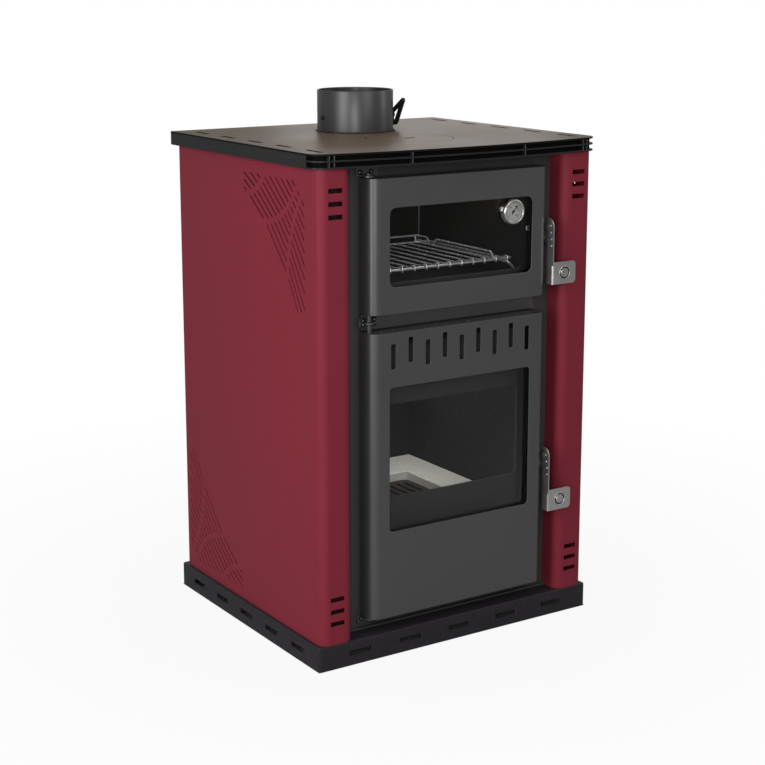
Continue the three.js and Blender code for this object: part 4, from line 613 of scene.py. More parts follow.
def enamelled(name, colour):
    """Fired enamel: dark and half glossy, with fine pale specks and a slight ripple."""
    finish, place = new_finish(name)
    specks = finish.cells(place, 330.0) < 0.07
    ripple = finish.noise(place, 45.0, 3.0)
    tone = finish.mixed(specks * 0.1, colour, eye(120, 120, 120))
    return finish.surface(tone, 0.36 + (ripple - 0.5) * 0.12, finish.bump(ripple, 0.00002), shine=0.25)


def plated(name, colour, roughness):
    """Bright plated wire, with faint dulling where food and hands touch it."""
    finish, place = new_finish(name)
    dull = finish.noise(place, 120.0, 3.0)
    return finish.surface(finish.shaded(dull, colour, 0.8, 1), roughness + dull * 0.12, metal=0.6)


enamel = enamelled("speckled_enamel", eye(36, 32, 30))
chrome = plated("plated_wire", eye(236, 236, 238), 0.20)
kept("oven_box", enamel, 0.0010)

RACK_Z = 0.615
RACK_FRONT, RACK_BACK = -0.158, 0.070
RACK_PITCH = 0.0233
RACK_WIRE, FRONT_WIRE, RUNNER_WIRE, SEAM = 0.0018, 0.0022, 0.0025, 0.0008  # half the thickness of each
RIM_Z = RACK_Z + 0.012
CURL = ((0.012, 0), (0.002, 0.0042), (-0.0034, 0.0040), (-0.0046, -0.0006), (-0.0030, -0.0030))
LOOP = ((0.009, 0.0), (0.0125, 0.006), (0.008, 0.012), (0.0, 0.012))
rack_half = 6 * RACK_PITCH
wires = []
for i in range(-6, 7):
    x = i * RACK_PITCH
    wires.append([(x, RACK_BACK, RACK_Z)] + [(x, RACK_FRONT + y, RACK_Z + z) for y, z in CURL])
for side in (-1, 1):
    x = side * 5 * RACK_PITCH
    wires.append(
        [
            (x, RACK_FRONT + 0.001, RACK_Z), (x, RACK_FRONT + 0.011, RIM_Z), (x, 0.012, RIM_Z),
            (x, 0.021, RACK_Z + 0.001), (x, 0.031, RACK_Z + 0.001), (x, 0.040, RIM_Z), (x, RACK_BACK, RIM_Z),
            (0, RACK_BACK, RIM_Z),
        ]
    )
    wires.append([(x - side * 0.004, RACK_BACK, RACK_Z), (x - side * 0.004, RACK_BACK, RIM_Z)])
wires.append([(-rack_half, RACK_BACK, RACK_Z), (rack_half, RACK_BACK, RACK_Z)])
rack = bent_wire(wires, RACK_WIRE, 0.006)
left_loop = [(-rack_half - x, RACK_FRONT + y, RACK_Z) for x, y in reversed(LOOP)]
right_loop = [(rack_half + x, RACK_FRONT + y, RACK_Z) for x, y in LOOP]
add(rack, bent_wire([left_loop + right_loop], FRONT_WIRE, 0.004, fineness=3))
piece("wire_oven_rack", rack, "oven_rack", chrome, ["oven_rack"], edge_angle=50)

runner_z = RACK_Z - 0.0053
RUNNER_FRONT, RUNNER_BACK = -0.165, 0.112
for side, side_name in ((-1, "left"), (1, "right")):
    wall = side * 0.1532
    rail_x = side * rack_half
    path = [
        (wall, RUNNER_FRONT, runner_z - 0.013), (rail_x, RUNNER_FRONT, runner_z),
        (rail_x, RUNNER_BACK, runner_z), (wall, RUNNER_BACK, runner_z),
    ]
    runner = bent_wire([path], RUNNER_WIRE, 0.007)
    old_runner = f"{side_name}_rack_runner"
    piece(f"{side_name}_wire_runner", runner, "stove_body", chrome, [old_runner], edge_angle=50)

oven_corner = (0.1552, 0.1213)
seam = bent_wire([[(*oven_corner, 0.586), (*oven_corner, 0.764)]], SEAM, 0.001)
add(seam, mirrored(seam))
piece("oven_corner_welds", seam, "stove_body", steel, edge_angle=50)


# The top plate: thick sheet with a bowed front, round front corners and a turned-down rim, slotted along
# both sides. Heat-resistant satin paint, browned on the hot face and black on the rim, with painted shade
# in near black on the plate's upright faces, the slot walls among them.

TOP_HALF, TOP_BACK, TOP_APEX = 0.27295, 0.248, -0.251
TOP_BOW, TOP_CORNER = 1.600, 0.026
BOW_CENTRE = Vector((0, TOP_APEX + TOP_BOW, 0))
CORNER_X = TOP_HALF - TOP_CORNER
CORNER_Y = BOW_CENTRE.y - math.sqrt((TOP_BOW - TOP_CORNER) ** 2 - CORNER_X ** 2)
BOW_HALF_ANGLE = math.asin(CORNER_X / (TOP_BOW - TOP_CORNER))


def top_slab(inset, low_z, high_z):
    """A slab in the top's plan, drawn in by an inset: bowed front, round front corners, straight back."""
    bm = bmesh.new()
    tip = bm.verts.new((0, TOP_APEX + inset, low_z))
    corner_centre = Vector((CORNER_X, CORNER_Y, 0))
    turns = ((BOW_CENTRE, BOW_HALF_ANGLE, 20), (corner_centre, math.pi / 2 - BOW_HALF_ANGLE, 12))
    for centre, angle, steps in turns:
        spun = bmesh.ops.spin(bm, geom=[tip], cent=centre, axis=(0, 0, 1), angle=angle, steps=steps)
        tip = next(v for v in spun["geom_last"] if isinstance(v, bmesh.types.BMVert))
    for x in (TOP_HALF - inset, 0):
        tip = bmesh.ops.extrude_vert_indiv(bm, verts=[tip])["verts"][0]
        tip.co = (x, TOP_BACK - inset, low_z)
    bmesh.ops.mirror(bm, geom=bm.verts[:] + bm.edges[:], matrix=Matrix(), merge_dist=1e-5, axis="X")
    bmesh.ops.remove_doubles(bm, verts=bm.verts, dist=1e-5)
    face = bmesh.ops.edgeloop_fill(bm, edges=bm.edges)["faces"]
    lifted = bmesh.ops.extrude_face_region(bm, geom=face)["geom"]
    lifted = [v for v in lifted if isinstance(v, bmesh.types.BMVert)]
    bmesh.ops.translate(bm, verts=lifted, vec=(0, 0, high_z - low_z))
    outward(bm)
    return bm


def disc(bm, centre, radius, low_z, high_z, segments=72):
    """A closed upright disc about a centre seen from above."""
    verts = bmesh.ops.create_cone(
        bm, cap_ends=True, segments=segments, radius1=radius, radius2=radius, depth=high_z - low_z
    )["verts"]
    bmesh.ops.translate(bm, verts=verts, vec=(*centre, (low_z + high_z) / 2))


def front_band(outer_inset, inner_inset, low_z, high_z):
    """The front part of a band between two insets of the top's plan."""
    inner = top_slab(inner_inset, low_z - PAST, high_z + PAST)
    band = cut(top_slab(outer_inset, low_z, high_z), inner)
    return combined(band, block((-0.3, -0.3, 0.7), (0.3, CORNER_Y, 0.9)), "INTERSECT")


def browned(name, colour, upright_shade_colour):
    """Heat-browned satin paint, with painted shade: its upright faces, such as the slot walls, are painted
    near black.
    """
    finish, place = new_finish(name)
    fine = finish.noise(place, 1100.0, 3.0)
    broad = finish.noise(place, 7.0)
    facing = finish.node("ShaderNodeNewGeometry", {}, {}, "True Normal")
    # Painted shade: faces that stand upright take the near-black shade colour.
    edge = abs(finish.node("ShaderNodeSeparateXYZ", {}, {0: facing}, 2)) < 0.7
    tone = finish.mixed(edge, finish.shaded(broad, colour, 0.9, 1.1), upright_shade_colour)
    rough = 0.38 + (broad - 0.5) * 0.14 + (fine - 0.5) * 0.1
    return finish.surface(tone, rough, finish.bump(fine, 0.00005), shine=0.08)


# The second colour is the painted shade on the top's upright faces.
top_paint = browned("browned_satin_top", eye(92, 78, 62), eye(20, 20, 20))
trim_paint = painted("gloss_black_trim", eye(36, 37, 37), roughness=0.34, depth=0.00005, mottle=0.10)
TOP_Z = 0.816
TOP_SHEET = 0.003
RIM_FOOT = 0.793
LID_CENTRE = (0, -0.078)
COLLAR_CENTRE = (0, 0.08952)
COLLAR_HOLE, LID_HOLE, LID = 0.0653, 0.0728, 0.072
SEAT, SEAT_BORE, SEAT_SHEET = 0.082, 0.062, 0.004
TOP_SLOT, TOP_SLOT_EASE = (0.045, 0.0078, 0.02), 0.0018
TOP_SLOT_X, TOP_SLOT_MIDDLE, TOP_SLOT_PITCH = 0.244, 0.002, 0.092
top_under = TOP_Z - TOP_SHEET
through_top = (TOP_Z - 0.02, TOP_Z + 0.02)
plate = top_slab(0, top_under, TOP_Z)
openings = bmesh.new()
disc(openings, COLLAR_CENTRE, COLLAR_HOLE, *through_top)
disc(openings, LID_CENTRE, LID_HOLE, *through_top)
for side in (-1, 1):
    for step in range(-2, 3):
        centre = (side * TOP_SLOT_X, TOP_SLOT_MIDDLE + step * TOP_SLOT_PITCH, TOP_Z)
        punch(openings, centre, TOP_SLOT, TOP_SLOT_EASE, (0, 0, 1), (0, 1, 0))
plate = cut(plate, openings)
seat = bmesh.new()
disc(seat, LID_CENTRE, SEAT, top_under - SEAT_SHEET, top_under - 0.0001)
seat_hole = bmesh.new()
disc(seat_hole, LID_CENTRE, SEAT_BORE, *through_top)
add(plate, cut(seat, seat_hole))
piece("bowed_top_plate", plate, "stove_body", top_paint, ["top_plate"], edge=0.0006)

rim = cut(top_slab(0.0002, RIM_FOOT, top_under - 0.0001), top_slab(TOP_SHEET, 0.78, 0.83))
rim = combined(rim, block((-0.3, CORNER_Y + FIT, 0.7), (0.3, 0.3, 0.9)), "INTERSECT")
piece("turned_down_rim", rim, "stove_body", trim_paint, edge=0.0005)


# The cooking lid: a plain disc in a seat, with a slot for its lifting hook.

lid = bmesh.new()
disc(lid, LID_CENTRE, LID, top_under + FIT, TOP_Z, 96)
lifting_slot = bmesh.new()
punch(lifting_slot, (*LID_CENTRE, TOP_Z), (0.020, 0.007, 0.02), 0.0034, (0, 0, 1), (1, 0, 0))
lid = cut(lid, lifting_slot)
piece("hot_plate_lid", lid, "cooking_lid", top_paint, ["cooking_lid"], edge=0.0006)


# The front trim: two thin bowed fins in gloss black under the top's edge, joined by narrow upright posts of
# dull steel and by a wall behind them, which carries painted shade in near black.

# Painted shade: the wall behind the fins is painted near black for the shade under the top.
shadow_black = painted("shadow_black", eye(12, 12, 12), roughness=0.7, depth=0.00005, shine=0.05, mottle=0.10)
WALL_HEAD = 0.8127
WALL_FACE, WALL_BACK = 0.009, 0.011  # how far the wall lies in from the top's edge
wall = front_band(WALL_FACE, WALL_BACK, RIM_FOOT, WALL_HEAD)
for side in (-1, 1):
    ends = sorted((side * (TOP_HALF - 0.0112), side * (TOP_HALF - FIT)))
    box_between(wall, (ends[0], CORNER_Y - 0.0016, RIM_FOOT), (ends[1], CORNER_Y - 0.0002, WALL_HEAD))
piece("wall_behind_fins", wall, "stove_body", shadow_black, ["front_trim"])
fins = bmesh.new()
FIN_SHEET = 0.0026
for fin_foot in (RIM_FOOT, 0.8032):
    add(fins, front_band(0, WALL_FACE - 0.0001, fin_foot, fin_foot + FIN_SHEET))
piece("bowed_front_fins", fins, "stove_body", trim_paint, edge=0.0005)

post_metal = brushed("dull_post_steel", eye(112, 114, 114), roughness=0.45, fine=0.0006)
POST_HALF = 0.0006
posts = bmesh.new()
for post_x in (0.108, 0.239, 0.247):
    for side in (-1, 1):
        front_y = BOW_CENTRE.y - math.sqrt(TOP_BOW ** 2 - post_x ** 2)
        box_between(
            posts,
            (side * post_x - POST_HALF, front_y + 0.0005, RIM_FOOT + 0.0001),
            (side * post_x + POST_HALF, front_y + 0.0088, WALL_HEAD),
        )
piece("fin_posts", posts, "stove_body", post_metal, edge=0.0003)


# The flue collar: rolled tube welded into the top plate, with a rolled lip and a rippled weld bead at its
# foot. A hooked rod on the shaft turns the iron disc inside.


def drill(centre, radius, length):
    """A drill along X, for a hole about a centre."""
    bm = bmesh.new()
    verts = bmesh.ops.create_cone(
        bm, cap_ends=True, segments=24, radius1=radius, radius2=radius, depth=length,
        matrix=Matrix.Rotation(math.pi / 2, 4, "Y"),
    )["verts"]
    bmesh.ops.translate(bm, verts=verts, vec=centre)
    return bm


collar_paint = painted(
    "stove_black", eye(34, 35, 37),
    roughness=0.36, grain=0.0014, depth=0.00003, shine=0.85, mottle=0.10,
)
COLLAR, COLLAR_BORE, COLLAR_TOP, COLLAR_FOOT = 0.065, 0.0625, 0.886, 0.807
SHAFT_Z = 0.840
collar_profile = [
    (COLLAR_BORE, COLLAR_FOOT), (COLLAR, COLLAR_FOOT), (COLLAR, COLLAR_TOP - 0.0012),
    (COLLAR - 0.0004, COLLAR_TOP - 0.0003), (COLLAR - 0.0012, COLLAR_TOP),
    (COLLAR - 0.0016, COLLAR_TOP - 0.0002), (COLLAR_BORE, COLLAR_TOP - 0.001), (COLLAR_BORE, COLLAR_FOOT),
]
collar = turned(collar_profile, (*COLLAR_CENTRE, 0), (0, 0, 1), 128)
collar = cut(collar, drill((0, COLLAR_CENTRE[1], SHAFT_Z), 0.0039, 0.14))
piece("rolled_flue_collar", collar, "stove_body", collar_paint, ["flue_collar"], edge_angle=40)

BEAD_RIPPLES, BEAD_RIPPLE = 75, 0.00022
bead_profile = [
    (COLLAR + 0.0014 + 0.0016 * math.cos(angle), TOP_Z + 0.0013 + 0.0012 * math.sin(angle))
    for angle in [math.tau * i / 10 for i in range(11)]
]
bead = turned(bead_profile, (*COLLAR_CENTRE, 0), (0, 0, 1), 300)
for vert in bead.verts:
    out = vert.co - Vector((*COLLAR_CENTRE, vert.co.z))
    vert.co += out.normalized() * BEAD_RIPPLE * math.sin(math.atan2(out.y, out.x) * BEAD_RIPPLES)
bead_metal = brushed("weld_bead", eye(78, 78, 82), roughness=0.42, fine=0.0010)
piece("collar_weld_bead", bead, "stove_body", bead_metal, edge_angle=60)

kept("damper_disc", iron, 0.0008)
kept("damper_shaft", trim_paint, 0.0005)
LEVER_X, LEVER_WIRE = 0.0745, 0.0040
LEVER_TURNS = ((-0.0010, 0.004), (-0.0365, 0.0275), (-0.0145, -0.013), (-0.0020, -0.0145))
lever_path = [(LEVER_X, COLLAR_CENTRE[1] + y, SHAFT_Z + z) for y, z in LEVER_TURNS]
lever = bent_wire([lever_path], LEVER_WIRE, 0.003, closed=True, fineness=3)
boss_profile = [(0.0037, -0.003), (0.006, -0.003), (0.006, 0.003), (0.0037, 0.003), (0.0037, -0.003)]
add(lever, turned(boss_profile, (LEVER_X, COLLAR_CENTRE[1], SHAFT_Z), (1, 0, 0), 24))
piece("hooked_damper_lever", lever, "damper", trim_paint, ["damper_lever"], edge_angle=50)


# The doors: heavy sheet bent round at both sides and closed by caps, in satin charcoal paint. The glass lies
# inside against a woven tape, and a frame behind holds the rope seal.

door_paint = painted(
    "charcoal_door_paint", eye(59, 58, 59),
    roughness=0.38, grain=0.0010, depth=0.00006, shine=1.0, mottle=0.08,
)
lining_paint = painted("lining_black", eye(38, 37, 36), roughness=0.55, shine=0.14)


def woven(name, colour, pitch):
    """Glass-fibre rope: grey strands laid on a slant, dusted with ash."""
    finish, place = new_finish(name)
    bands = {"wave_type": "BANDS", "bands_direction": "DIAGONAL", "wave_profile": "SIN"}
    strands = {"Scale": 0.314 / pitch, "Distortion": 0.6, "Detail": 1.0}
    first, second = [
        finish.node("ShaderNodeTexWave", bands, {"Vector": finish.stretched((side, 1, 1)), **strands}, "Fac")
        for side in (-1, 1)
    ]
    weave = first * second
    ash = finish.noise(place, 50.0, 3.0)
    tone = finish.shaded(weave * 0.7 + ash * 0.3, colour, 0.3, 1.2)
    return finish.surface(tone, 0.9 + (ash - 0.5) * 0.1, finish.bump(weave, 0.0008))


def clear_glass(name, gleam):
    """Clear sheet, a little smeared: it shows what is behind, but for a gleam that grows at a slant."""
    finish, place = new_finish(name)
    slant = finish.node("ShaderNodeFresnel", {}, {"IOR": 1.47})
    smear = finish.noise(place, 22.0, 3.0)
    tone = finish.mixed(slant, (0.10, 0.11, 0.11, 1), (0.93, 0.95, 0.95, 1))
    return finish.surface(tone, 0.02 + smear * 0.03, metal=1.0, alpha=slant * gleam + smear * 0.015)


def laid_ring(low, high, width, corner):
    """A soft ring laid on a door: an oval cord round a rectangle with eased corners."""
    radius = width / 2
    x, bottom, top, middle_y = high.x - radius, low.z + radius, high.z - radius, (low.y + high.y) / 2
    path = [(-x, middle_y, bottom), (x, middle_y, bottom), (x, middle_y, top), (-x, middle_y, top)]
    bm = bent_wire([path], radius, corner, closed=True)
    for vert in bm.verts:
        vert.co.y = middle_y + (vert.co.y - middle_y) * (high.y - low.y) / width
    return bm


rope_weave = woven("seal_rope", eye(150, 146, 136), 0.0024)
tape_weave = woven("glass_tape", eye(205, 203, 196), 0.0020)
glass = clear_glass("door_glass", 0.8)
DOOR_SHEET = 0.002
DOOR_BEND = 0.016
CAP_GAP = 0.0002
TAPE_WIDTH, ROPE_WIDTH = 0.0074, 0.010
HINGE_AXIS, PIN_HOLE = (-0.162, -0.206), 0.0044
AIR_SLOT, AIR_SLOT_EASE, AIR_SLOT_PITCH = (0.040, 0.0086, 0.02), 0.0022, 0.0328
AIR_SLOT_DROP, AIR_SLOT_STAGGER = 0.0385, 0.008
AIR_HOLE, AIR_HOLE_PITCH, AIR_HOLE_INSET = 0.003, 0.0205, 0.015
PANE_WIDTH = 0.276
PANES = {"oven": (0.603, 0.727, 0.011), "fire": (0.208, 0.444, 0.006)}  # foot, head and corner of each window
for name, (pane_low, pane_high, pane_corner) in PANES.items():
    body = f"{name}_door"
    low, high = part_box(f"{body}_skin")
    skin = folded(
        [(low.x, high.y), (low.x, low.y), (high.x, low.y), (high.x, high.y)],
        low.z, high.z, DOOR_BEND, DOOR_SHEET, 16,
    )
    cuts = bmesh.new()
    pane = (PANE_WIDTH, pane_high - pane_low, 0.02)
    punch(cuts, (0, low.y, (pane_low + pane_high) / 2), pane, pane_corner, (0, 1, 0), (1, 0, 0))
    cap_holes = bmesh.new()
    disc(cap_holes, HINGE_AXIS, PIN_HOLE, low.z - PAST, high.z + PAST, 24)
    if name == "fire":
        for i in range(9):
            slot_z = high.z - AIR_SLOT_DROP + (i % 2) * AIR_SLOT_STAGGER
            centre = ((i - 4) * AIR_SLOT_PITCH, low.y, slot_z)
            punch(cuts, centre, AIR_SLOT, AIR_SLOT_EASE, (0, 1, 0), (0, 0, 1))
        for i in range(15):
            centre = ((i - 7) * AIR_HOLE_PITCH, low.y + AIR_HOLE_INSET)
            disc(cap_holes, centre, AIR_HOLE, high.z - PAST, high.z + PAST, 16)
    skin = cut(skin, cuts)
    piece(f"{body}_bent_front", skin, body, door_paint, [f"{body}_skin"], edge=0.0006)
    caps = bmesh.new()
    for cap_low in (low.z + FIT, high.z - FIT - DOOR_SHEET):
        cap = box_between(
            caps,
            (low.x + DOOR_SHEET + CAP_GAP, low.y + DOOR_SHEET + CAP_GAP, cap_low),
            (high.x - DOOR_SHEET - CAP_GAP, high.y - CAP_GAP, cap_low + DOOR_SHEET),
        )
        front_corners = [e for e in edges_along(cap, 2) if e.verts[0].co.y < -0.2]
        round_edges(caps, front_corners, DOOR_BEND - DOOR_SHEET, 10)
    caps = cut(caps, cap_holes)
    piece(f"{body}_caps", caps, body, door_paint, edge=0.0003)
    tape = laid_ring(*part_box(f"{name}_glass_gasket"), TAPE_WIDTH, 0.004)
    piece(f"{body}_glass_tape", tape, body, tape_weave, [f"{name}_glass_gasket"], edge_angle=60)
    rope = laid_ring(*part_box(f"{body}_rope"), ROPE_WIDTH, 0.012)
    piece(f"{body}_seal_rope", rope, body, rope_weave, [f"{body}_rope"], edge_angle=60)
    kept(f"{body}_glass", glass)
    kept(f"{name}_glass_retainer", lining_paint, 0.0004)
    kept(f"{body}_inner_frame", lining_paint, 0.0005)

clip_path = [(0.1420, 0.6755), (0.1352, 0.6755), (0.1352, 0.6705), (0.1420, 0.6705)]
clip = bent_wire([[(x, -0.2174, z) for x, z in clip_path]], 0.0012, 0.002)
piece("oven_glass_clip", clip, "oven_door", chrome, edge_angle=50)


# The rail between the doors and the hinges: a flat bar, brackets held by dull steel rivets whose bright
# steel centres are painted highlights, and short painted pins.

kept("middle_rail", door_paint, 0.0010)
rivet_profile = [
    (0.0018, 0.0016), (0.0028, 0.0014), (0.0036, 0.0005), (0.0036, -0.0006), (0.0018, -0.0006),
    (0.0018, 0.0016),
]
# Painted highlight: a small bright steel disc on each rivet head stands for the highlight there.
highlight_profile = [(0, 0.0016), (0.0010, 0.0015), (0.0018, 0.0009), (0.0018, -0.0006), (0, -0.0006)]
RIVET_COLUMNS = (-0.1690, -0.1485)
RIVET_ROWS = {"top": (0.7807,), "middle": (0.5436, 0.5504), "bottom": (0.0573,)}
BRACKET_DEPTH = 0.0043
rivets, rivet_highlights = bmesh.new(), bmesh.new()
for bracket, rows in RIVET_ROWS.items():
    bracket_node = f"{bracket}_hinge_bracket"
    kept(bracket_node, door_paint, 0.0006)
    kept(f"{bracket}_hinge_pin", door_paint, 0.0004)
    bracket_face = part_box(bracket_node)[1].y - BRACKET_DEPTH
    for rivet_z in rows:
        for rivet_x in RIVET_COLUMNS:
            add(rivets, turned(rivet_profile, (rivet_x, bracket_face, rivet_z), (0, -1, 0), 20))
            add(rivet_highlights, turned(highlight_profile, (rivet_x, bracket_face, rivet_z), (0, -1, 0), 16))
piece("hinge_rivets", rivets, "stove_body", bead_metal, edge_angle=50)
piece("painted_highlight_rivet_centres", rivet_highlights, "stove_body", steel, edge_angle=50)


# The handles: stainless strip folded at its lower end into a plate for the fingertips. Each turns on a
# shouldered pin in the door's side, and its nose reaches back under a small steel strike.

handle_steel = brushed("handle_steel", eye(206, 204, 202), roughness=0.36, fine=0.0007)
bright_stud = plated("polished_stud", eye(235, 235, 238), 0.08)
STRIP_X = 0.1728
STRIP_FRONT, STRIP_BACK = -0.241, -0.219
HANDLE_SHEET = 0.002
HANDLE_CROWN, HANDLE_BEND = 0.016, 0.004
PLATE_CORNER = 0.0065
PLATE_END = 0.2208
PLATE_DROP, PLATE_HEIGHT = 0.073, 0.037
PIN_Y, PIN_DROP, PIN_BORE = -0.223, 0.016, 0.0038
BOSS_OUT = 0.024  # from the strip to the middle of the plate's boss
NOSE_TOP, NOSE_HEIGHT, NOSE_ROOT, NOSE_TIP = 0.039, 0.010, -0.230, -0.193
UNDERLAP, NOSE_EASE = 0.006, 0.00002  # the joined blocks overlap, and their faces don't meet
GROOVE = (0.0079, 0.0099)
GROOVE_RING = ((0, -0.0001), (1, -0.0001), (1, 0.0001), (0, 0.0001), (0, -0.0001))
STUDS = ((-0.2330, 0.013), (-0.2352, 0.024), (-0.2365, 0.035), (-0.2368, 0.046))  # place and drop of each
for name, strip_top in (("oven", 0.689), ("fire", 0.301)):
    body = f"{name}_handle"
    plate_top = strip_top - PLATE_DROP
    plate_low = plate_top - PLATE_HEIGHT
    strip = block(
        (STRIP_X, STRIP_FRONT, plate_top - UNDERLAP), (STRIP_X + HANDLE_SHEET, STRIP_BACK, strip_top)
    )
    crown = [
        e for e in strip.edges
        if all(abs(v.co.z - strip_top) < 1e-6 and abs(v.co.y - STRIP_FRONT) < 1e-6 for v in e.verts)
    ]
    round_edges(strip, crown, HANDLE_CROWN, 12)
    fold = folded(
        [(STRIP_X, STRIP_BACK), (STRIP_X, STRIP_FRONT), (PLATE_END, STRIP_FRONT)],
        plate_low, plate_top, HANDLE_BEND, HANDLE_SHEET, 8,
    )
    plate_corners = [e for e in edges_along(fold.verts, 1) if all(v.co.x > PLATE_END - 1e-5 for v in e.verts)]
    round_edges(fold, plate_corners, PLATE_CORNER, 8)
    strip = combined(strip, fold, "UNION")
    nose = block(
        (STRIP_X + NOSE_EASE, NOSE_ROOT, strip_top - NOSE_TOP - NOSE_HEIGHT),
        (STRIP_X + HANDLE_SHEET - NOSE_EASE, NOSE_TIP, strip_top - NOSE_TOP),
    )
    strip = combined(strip, nose, "UNION")
    strip = cut(strip, drill((STRIP_X, PIN_Y, strip_top - PIN_DROP), PIN_BORE, 0.02))
    piece(f"{name}_folded_handle", strip, body, handle_steel, [body], edge=0.0005)
    middle = (STRIP_X + HANDLE_SHEET / 2 + BOSS_OUT, STRIP_FRONT, (plate_low + plate_top) / 2)
    boss_profile = [
        (0, 0.0009), (0.0072, 0.0009), (0.0077, 0.0004), (GROOVE[0], -0.0002), (GROOVE[1], -0.0002),
        (0.0101, 0.0005), (0.0105, 0.0008), (0.011, 0.0004), (0.011, -0.0006), (0, -0.0006),
    ]
    boss = turned(boss_profile, middle, (0, -1, 0), 48)
    piece(f"{name}_handle_boss", boss, body, handle_steel, edge_angle=40)
    groove_profile = [(GROOVE[i], height) for i, height in GROOVE_RING]
    groove = turned(groove_profile, middle, (0, -1, 0), 48)
    piece(f"{name}_boss_groove", groove, body, trim_paint, edge_angle=40)
    studs = bmesh.new()
    stud_profile = [(0, 0.0008), (0.0009, 0.0006), (0.0015, 0.0), (0.0015, -0.0004), (0, -0.0004)]
    for stud_y, stud_drop in STUDS:
        add(studs, turned(stud_profile, (STRIP_X, stud_y, strip_top - stud_drop), (-1, 0, 0), 14))
    piece(f"{name}_handle_studs", studs, body, bright_stud, edge_angle=50)
    kept(f"{name}_handle_pin", door_paint, 0.0004)
    kept(f"{name}_strike", steel, 0.0004)


# The oven thermometer: a pressed bright case with a wide rolled bezel, a pale printed dial, a dark needle
# behind a lens, and a stem that reaches in past the glass.

dial_centre = Vector((0.0965, 0, 0.705))
CASE, CASE_FRONT, CASE_SHEET, STEM_HOLE = 0.0205, -0.237, 0.0015, 0.0043
case_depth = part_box("thermometer_case")[1].y - CASE_FRONT
case_profile = [
    (STEM_HOLE, -case_depth), (CASE, -case_depth), (CASE, -0.0034), (CASE - 0.0006, -0.0014),
    (CASE - 0.0018, -0.0002), (CASE - 0.0028, 0.0), (CASE - 0.0036, -0.0004), (CASE - 0.0042, -0.0013),
    (CASE - CASE_SHEET, -0.0013), (CASE - CASE_SHEET, -case_depth + CASE_SHEET),
    (STEM_HOLE, -case_depth + CASE_SHEET), (STEM_HOLE, -case_depth),
]
case = turned(case_profile, dial_centre + Vector((0, CASE_FRONT, 0)), (0, -1, 0), 72)
case_steel = brushed("bright_bezel", eye(205, 203, 200), roughness=0.22, fine=0.0008, along=1)
piece("thermometer_bezel_case", case, "oven_door", case_steel, ["thermometer_case"], edge_angle=40)
kept("thermometer_lens", clear_glass("lens_glass", 0.6))
kept("thermometer_stem", steel)
dial_white = painted("dial_white", eye(206, 205, 202), roughness=0.45, depth=0.00002, mottle=0.03)
needle_black = painted(
    "needle_black", eye(26, 26, 30),
    roughness=0.4, grain=0.0010, depth=0.00002, mottle=0.05,
)
kept("thermometer_dial", dial_white)
kept("thermometer_needle", needle_black)

dial_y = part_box("thermometer_dial")[0].y
INK = 0.00008
SCALE_START, SCALE_TURN, SCALE_MARKS = -135, 270, 30  # degrees from the top, and the parts of the scale
MARK_END, FIGURE_RADIUS = 0.0146, 0.0093
ZONE_START, ZONE_TURN, ZONE_RADII = 20, 70, (0.0092, 0.0103)
marks = bmesh.new()
for i in range(SCALE_MARKS + 1):
    half_width, start = (0.0003, 0.0118) if i % 5 == 0 else (0.00014, 0.0131)
    verts = box_between(marks, (-half_width, -INK, start), (half_width, 0, MARK_END))
    turn = Matrix.Rotation(math.radians(SCALE_START + SCALE_TURN * i / SCALE_MARKS), 3, "Y")
    bmesh.ops.rotate(marks, verts=verts, matrix=turn)
bmesh.ops.translate(marks, verts=marks.verts, vec=dial_centre + Vector((0, dial_y, 0)))
zone = bmesh.new()
zone_line = [zone.verts.new((0, 0, radius)) for radius in ZONE_RADII]
zone_edge = zone.edges.new(zone_line)
bmesh.ops.rotate(zone, verts=zone.verts, matrix=Matrix.Rotation(math.radians(ZONE_START), 3, "Y"))
bmesh.ops.spin(zone, geom=zone_line + [zone_edge], axis=(0, 1, 0), angle=math.radians(ZONE_TURN), steps=14)
outward(zone)
bmesh.ops.solidify(zone, geom=zone.faces, thickness=INK)
outward(zone)
bmesh.ops.translate(zone, verts=zone.verts, vec=dial_centre + Vector((0, dial_y - INK, 0)))
add(marks, zone)
for i, number in enumerate(range(0, 301, 100)):
    text = bpy.data.curves.new("work", "FONT")
    text.body = str(number)
    text.size = 0.0040
    text.align_x = text.align_y = "CENTER"
    text.extrude = INK / 2
    figure = from_curve(text)
    angle = math.radians(SCALE_START + SCALE_TURN * i / 3)
    way = Vector((math.sin(angle), 0, math.cos(angle)))
    spot = dial_centre + way * FIGURE_RADIUS + Vector((0, dial_y - INK / 2, 0))
    stand = Matrix.Translation(spot) @ Matrix.Rotation(math.pi / 2, 4, "X")
    bmesh.ops.transform(figure, matrix=stand, verts=figure.verts)
    add(marks, figure)
piece("dial_figures", marks, "oven_door", needle_black, edge_angle=40)


# The studio: a pale floor that runs out of sight and whitens away from the stove, large soft lamps round it
# and a small one in each chamber, and the camera at the height and angle of the photograph.

IN_MIRRORS, AMBIENT = 0.12, 0.30


def is_looked_at(finish):
    """One for the rays that show the background, straight or through glass, and little for mirrored ones."""
    straight, mirrored_ray, through = [
        finish.node("ShaderNodeLightPath", {}, {}, ray)
        for ray in ("Is Camera Ray", "Is Glossy Ray", "Is Transmission Ray")
    ]
    return straight | mirrored_ray * IN_MIRRORS | through


world = Finish(bpy.data.worlds.new("studio"))
strength = is_looked_at(world) * (1 - AMBIENT) + AMBIENT
sky = world.node("ShaderNodeBackground", {}, {"Color": (1, 1, 1, 1), "Strength": strength})
scene.world = world.end(sky, "ShaderNodeOutputWorld")

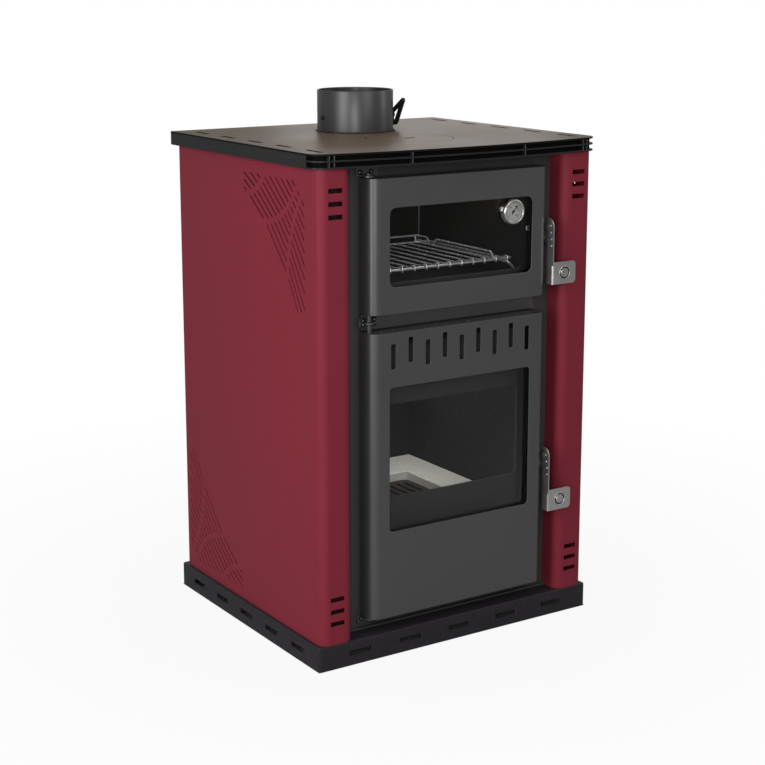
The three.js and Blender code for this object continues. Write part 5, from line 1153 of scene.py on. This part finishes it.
FLOOR_HALF = 40
FLOOR_DROP = 0.0006
NEAR_WHITE, FAR_WHITE = 0.93, 1.0
NEAR, FAR = 0.35, 1.4
FLOOR_GREY = 0.35
foot_low, foot_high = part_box("plinth")
foot_middle = (foot_low + foot_high) / 2
foot_half = (foot_high - foot_low) / 2
floor_bm = bmesh.new()
bmesh.ops.create_grid(floor_bm, x_segments=1, y_segments=1, size=FLOOR_HALF)
bmesh.ops.translate(floor_bm, verts=floor_bm.verts, vec=(0, 0, -FLOOR_DROP))
floor = placed("floor", floor_bm)
pale, spot = new_finish("pale_floor")
across, deep = [pale.node("ShaderNodeSeparateXYZ", {}, {0: spot}, axis) for axis in (0, 1)]
beside = (abs(across - foot_middle.x) > foot_half.x) | (abs(deep - foot_middle.y) > foot_half.y)
away = pale.node("ShaderNodeVectorMath", {"operation": "LENGTH"}, {0: spot}, "Value")
whiteness = pale.node(
    "ShaderNodeMapRange", {},
    {"Value": away, "From Min": NEAR, "From Max": FAR, "To Min": NEAR_WHITE, "To Max": FAR_WHITE},
)
glow = is_looked_at(pale) * beside * whiteness
matt = pale.node("ShaderNodeBsdfDiffuse", {}, {"Color": (FLOOR_GREY, FLOOR_GREY, FLOOR_GREY, 1)})
white = pale.node("ShaderNodeEmission", {}, {"Color": (1, 1, 1, 1), "Strength": 1.0})
floor.data.materials.append(pale.end(pale.node("ShaderNodeMixShader", {}, {0: glow, 1: matt, 2: white})))

AIM = Vector((0, 0, 0.45))
LAMPS = {  # place, width, height and power of each soft lamp
    "left_softbox": ((-2.05, -0.70, 1.15), 0.9, 2.0, 25),
    "front_softbox": ((0.15, -1.62, 1.55), 0.9, 1.0, 4.5),
    "camera_side_lamp": ((-1.35, -1.95, 0.98), 0.4, 0.9, 13),
    "right_strip": ((1.9, -0.9, 1.5), 0.5, 1.2, 4),
    "overhead": ((-0.1, 0.2, 2.6), 1.6, 1.6, 12),
    "back_softbox": ((1.5, 2.1, 1.35), 0.9, 0.7, 2.4),
    "hearth_lamp": ((0, -0.02, 0.545), 0.20, 0.12, 0.60),
    "oven_lamp": ((0, -0.10, 0.757), 0.24, 0.10, 0.16),
}
for lamp_name, (spot, width, height, power) in LAMPS.items():
    lamp_data = bpy.data.lights.new(lamp_name, "AREA")
    lamp_data.shape = "RECTANGLE"
    lamp_data.size = width
    lamp_data.size_y = height
    lamp_data.energy = power
    lamp = bpy.data.objects.new(lamp_name, lamp_data)
    lamp.location = spot
    lamp.rotation_mode = "QUATERNION"
    lamp.rotation_quaternion = (AIM - lamp.location).to_track_quat("-Z", "Y")
    lamp.visible_camera = False
    lamp.visible_glossy = lamp_name != "hearth_lamp"
    scene.collection.objects.link(lamp)

camera_data = bpy.data.cameras.new("camera")
camera_data.sensor_width = 36
camera_data.lens = 78.055
camera_data.shift_y = -0.07
camera = bpy.data.objects.new("camera", camera_data)
camera.location = (-1.5229, -2.3288, 1.0653)
camera.rotation_euler = (math.radians(90 - 11.82), 0, math.radians(-33.14))
scene.collection.objects.link(camera)
scene.camera = camera
scene.view_settings.view_transform = "Standard"
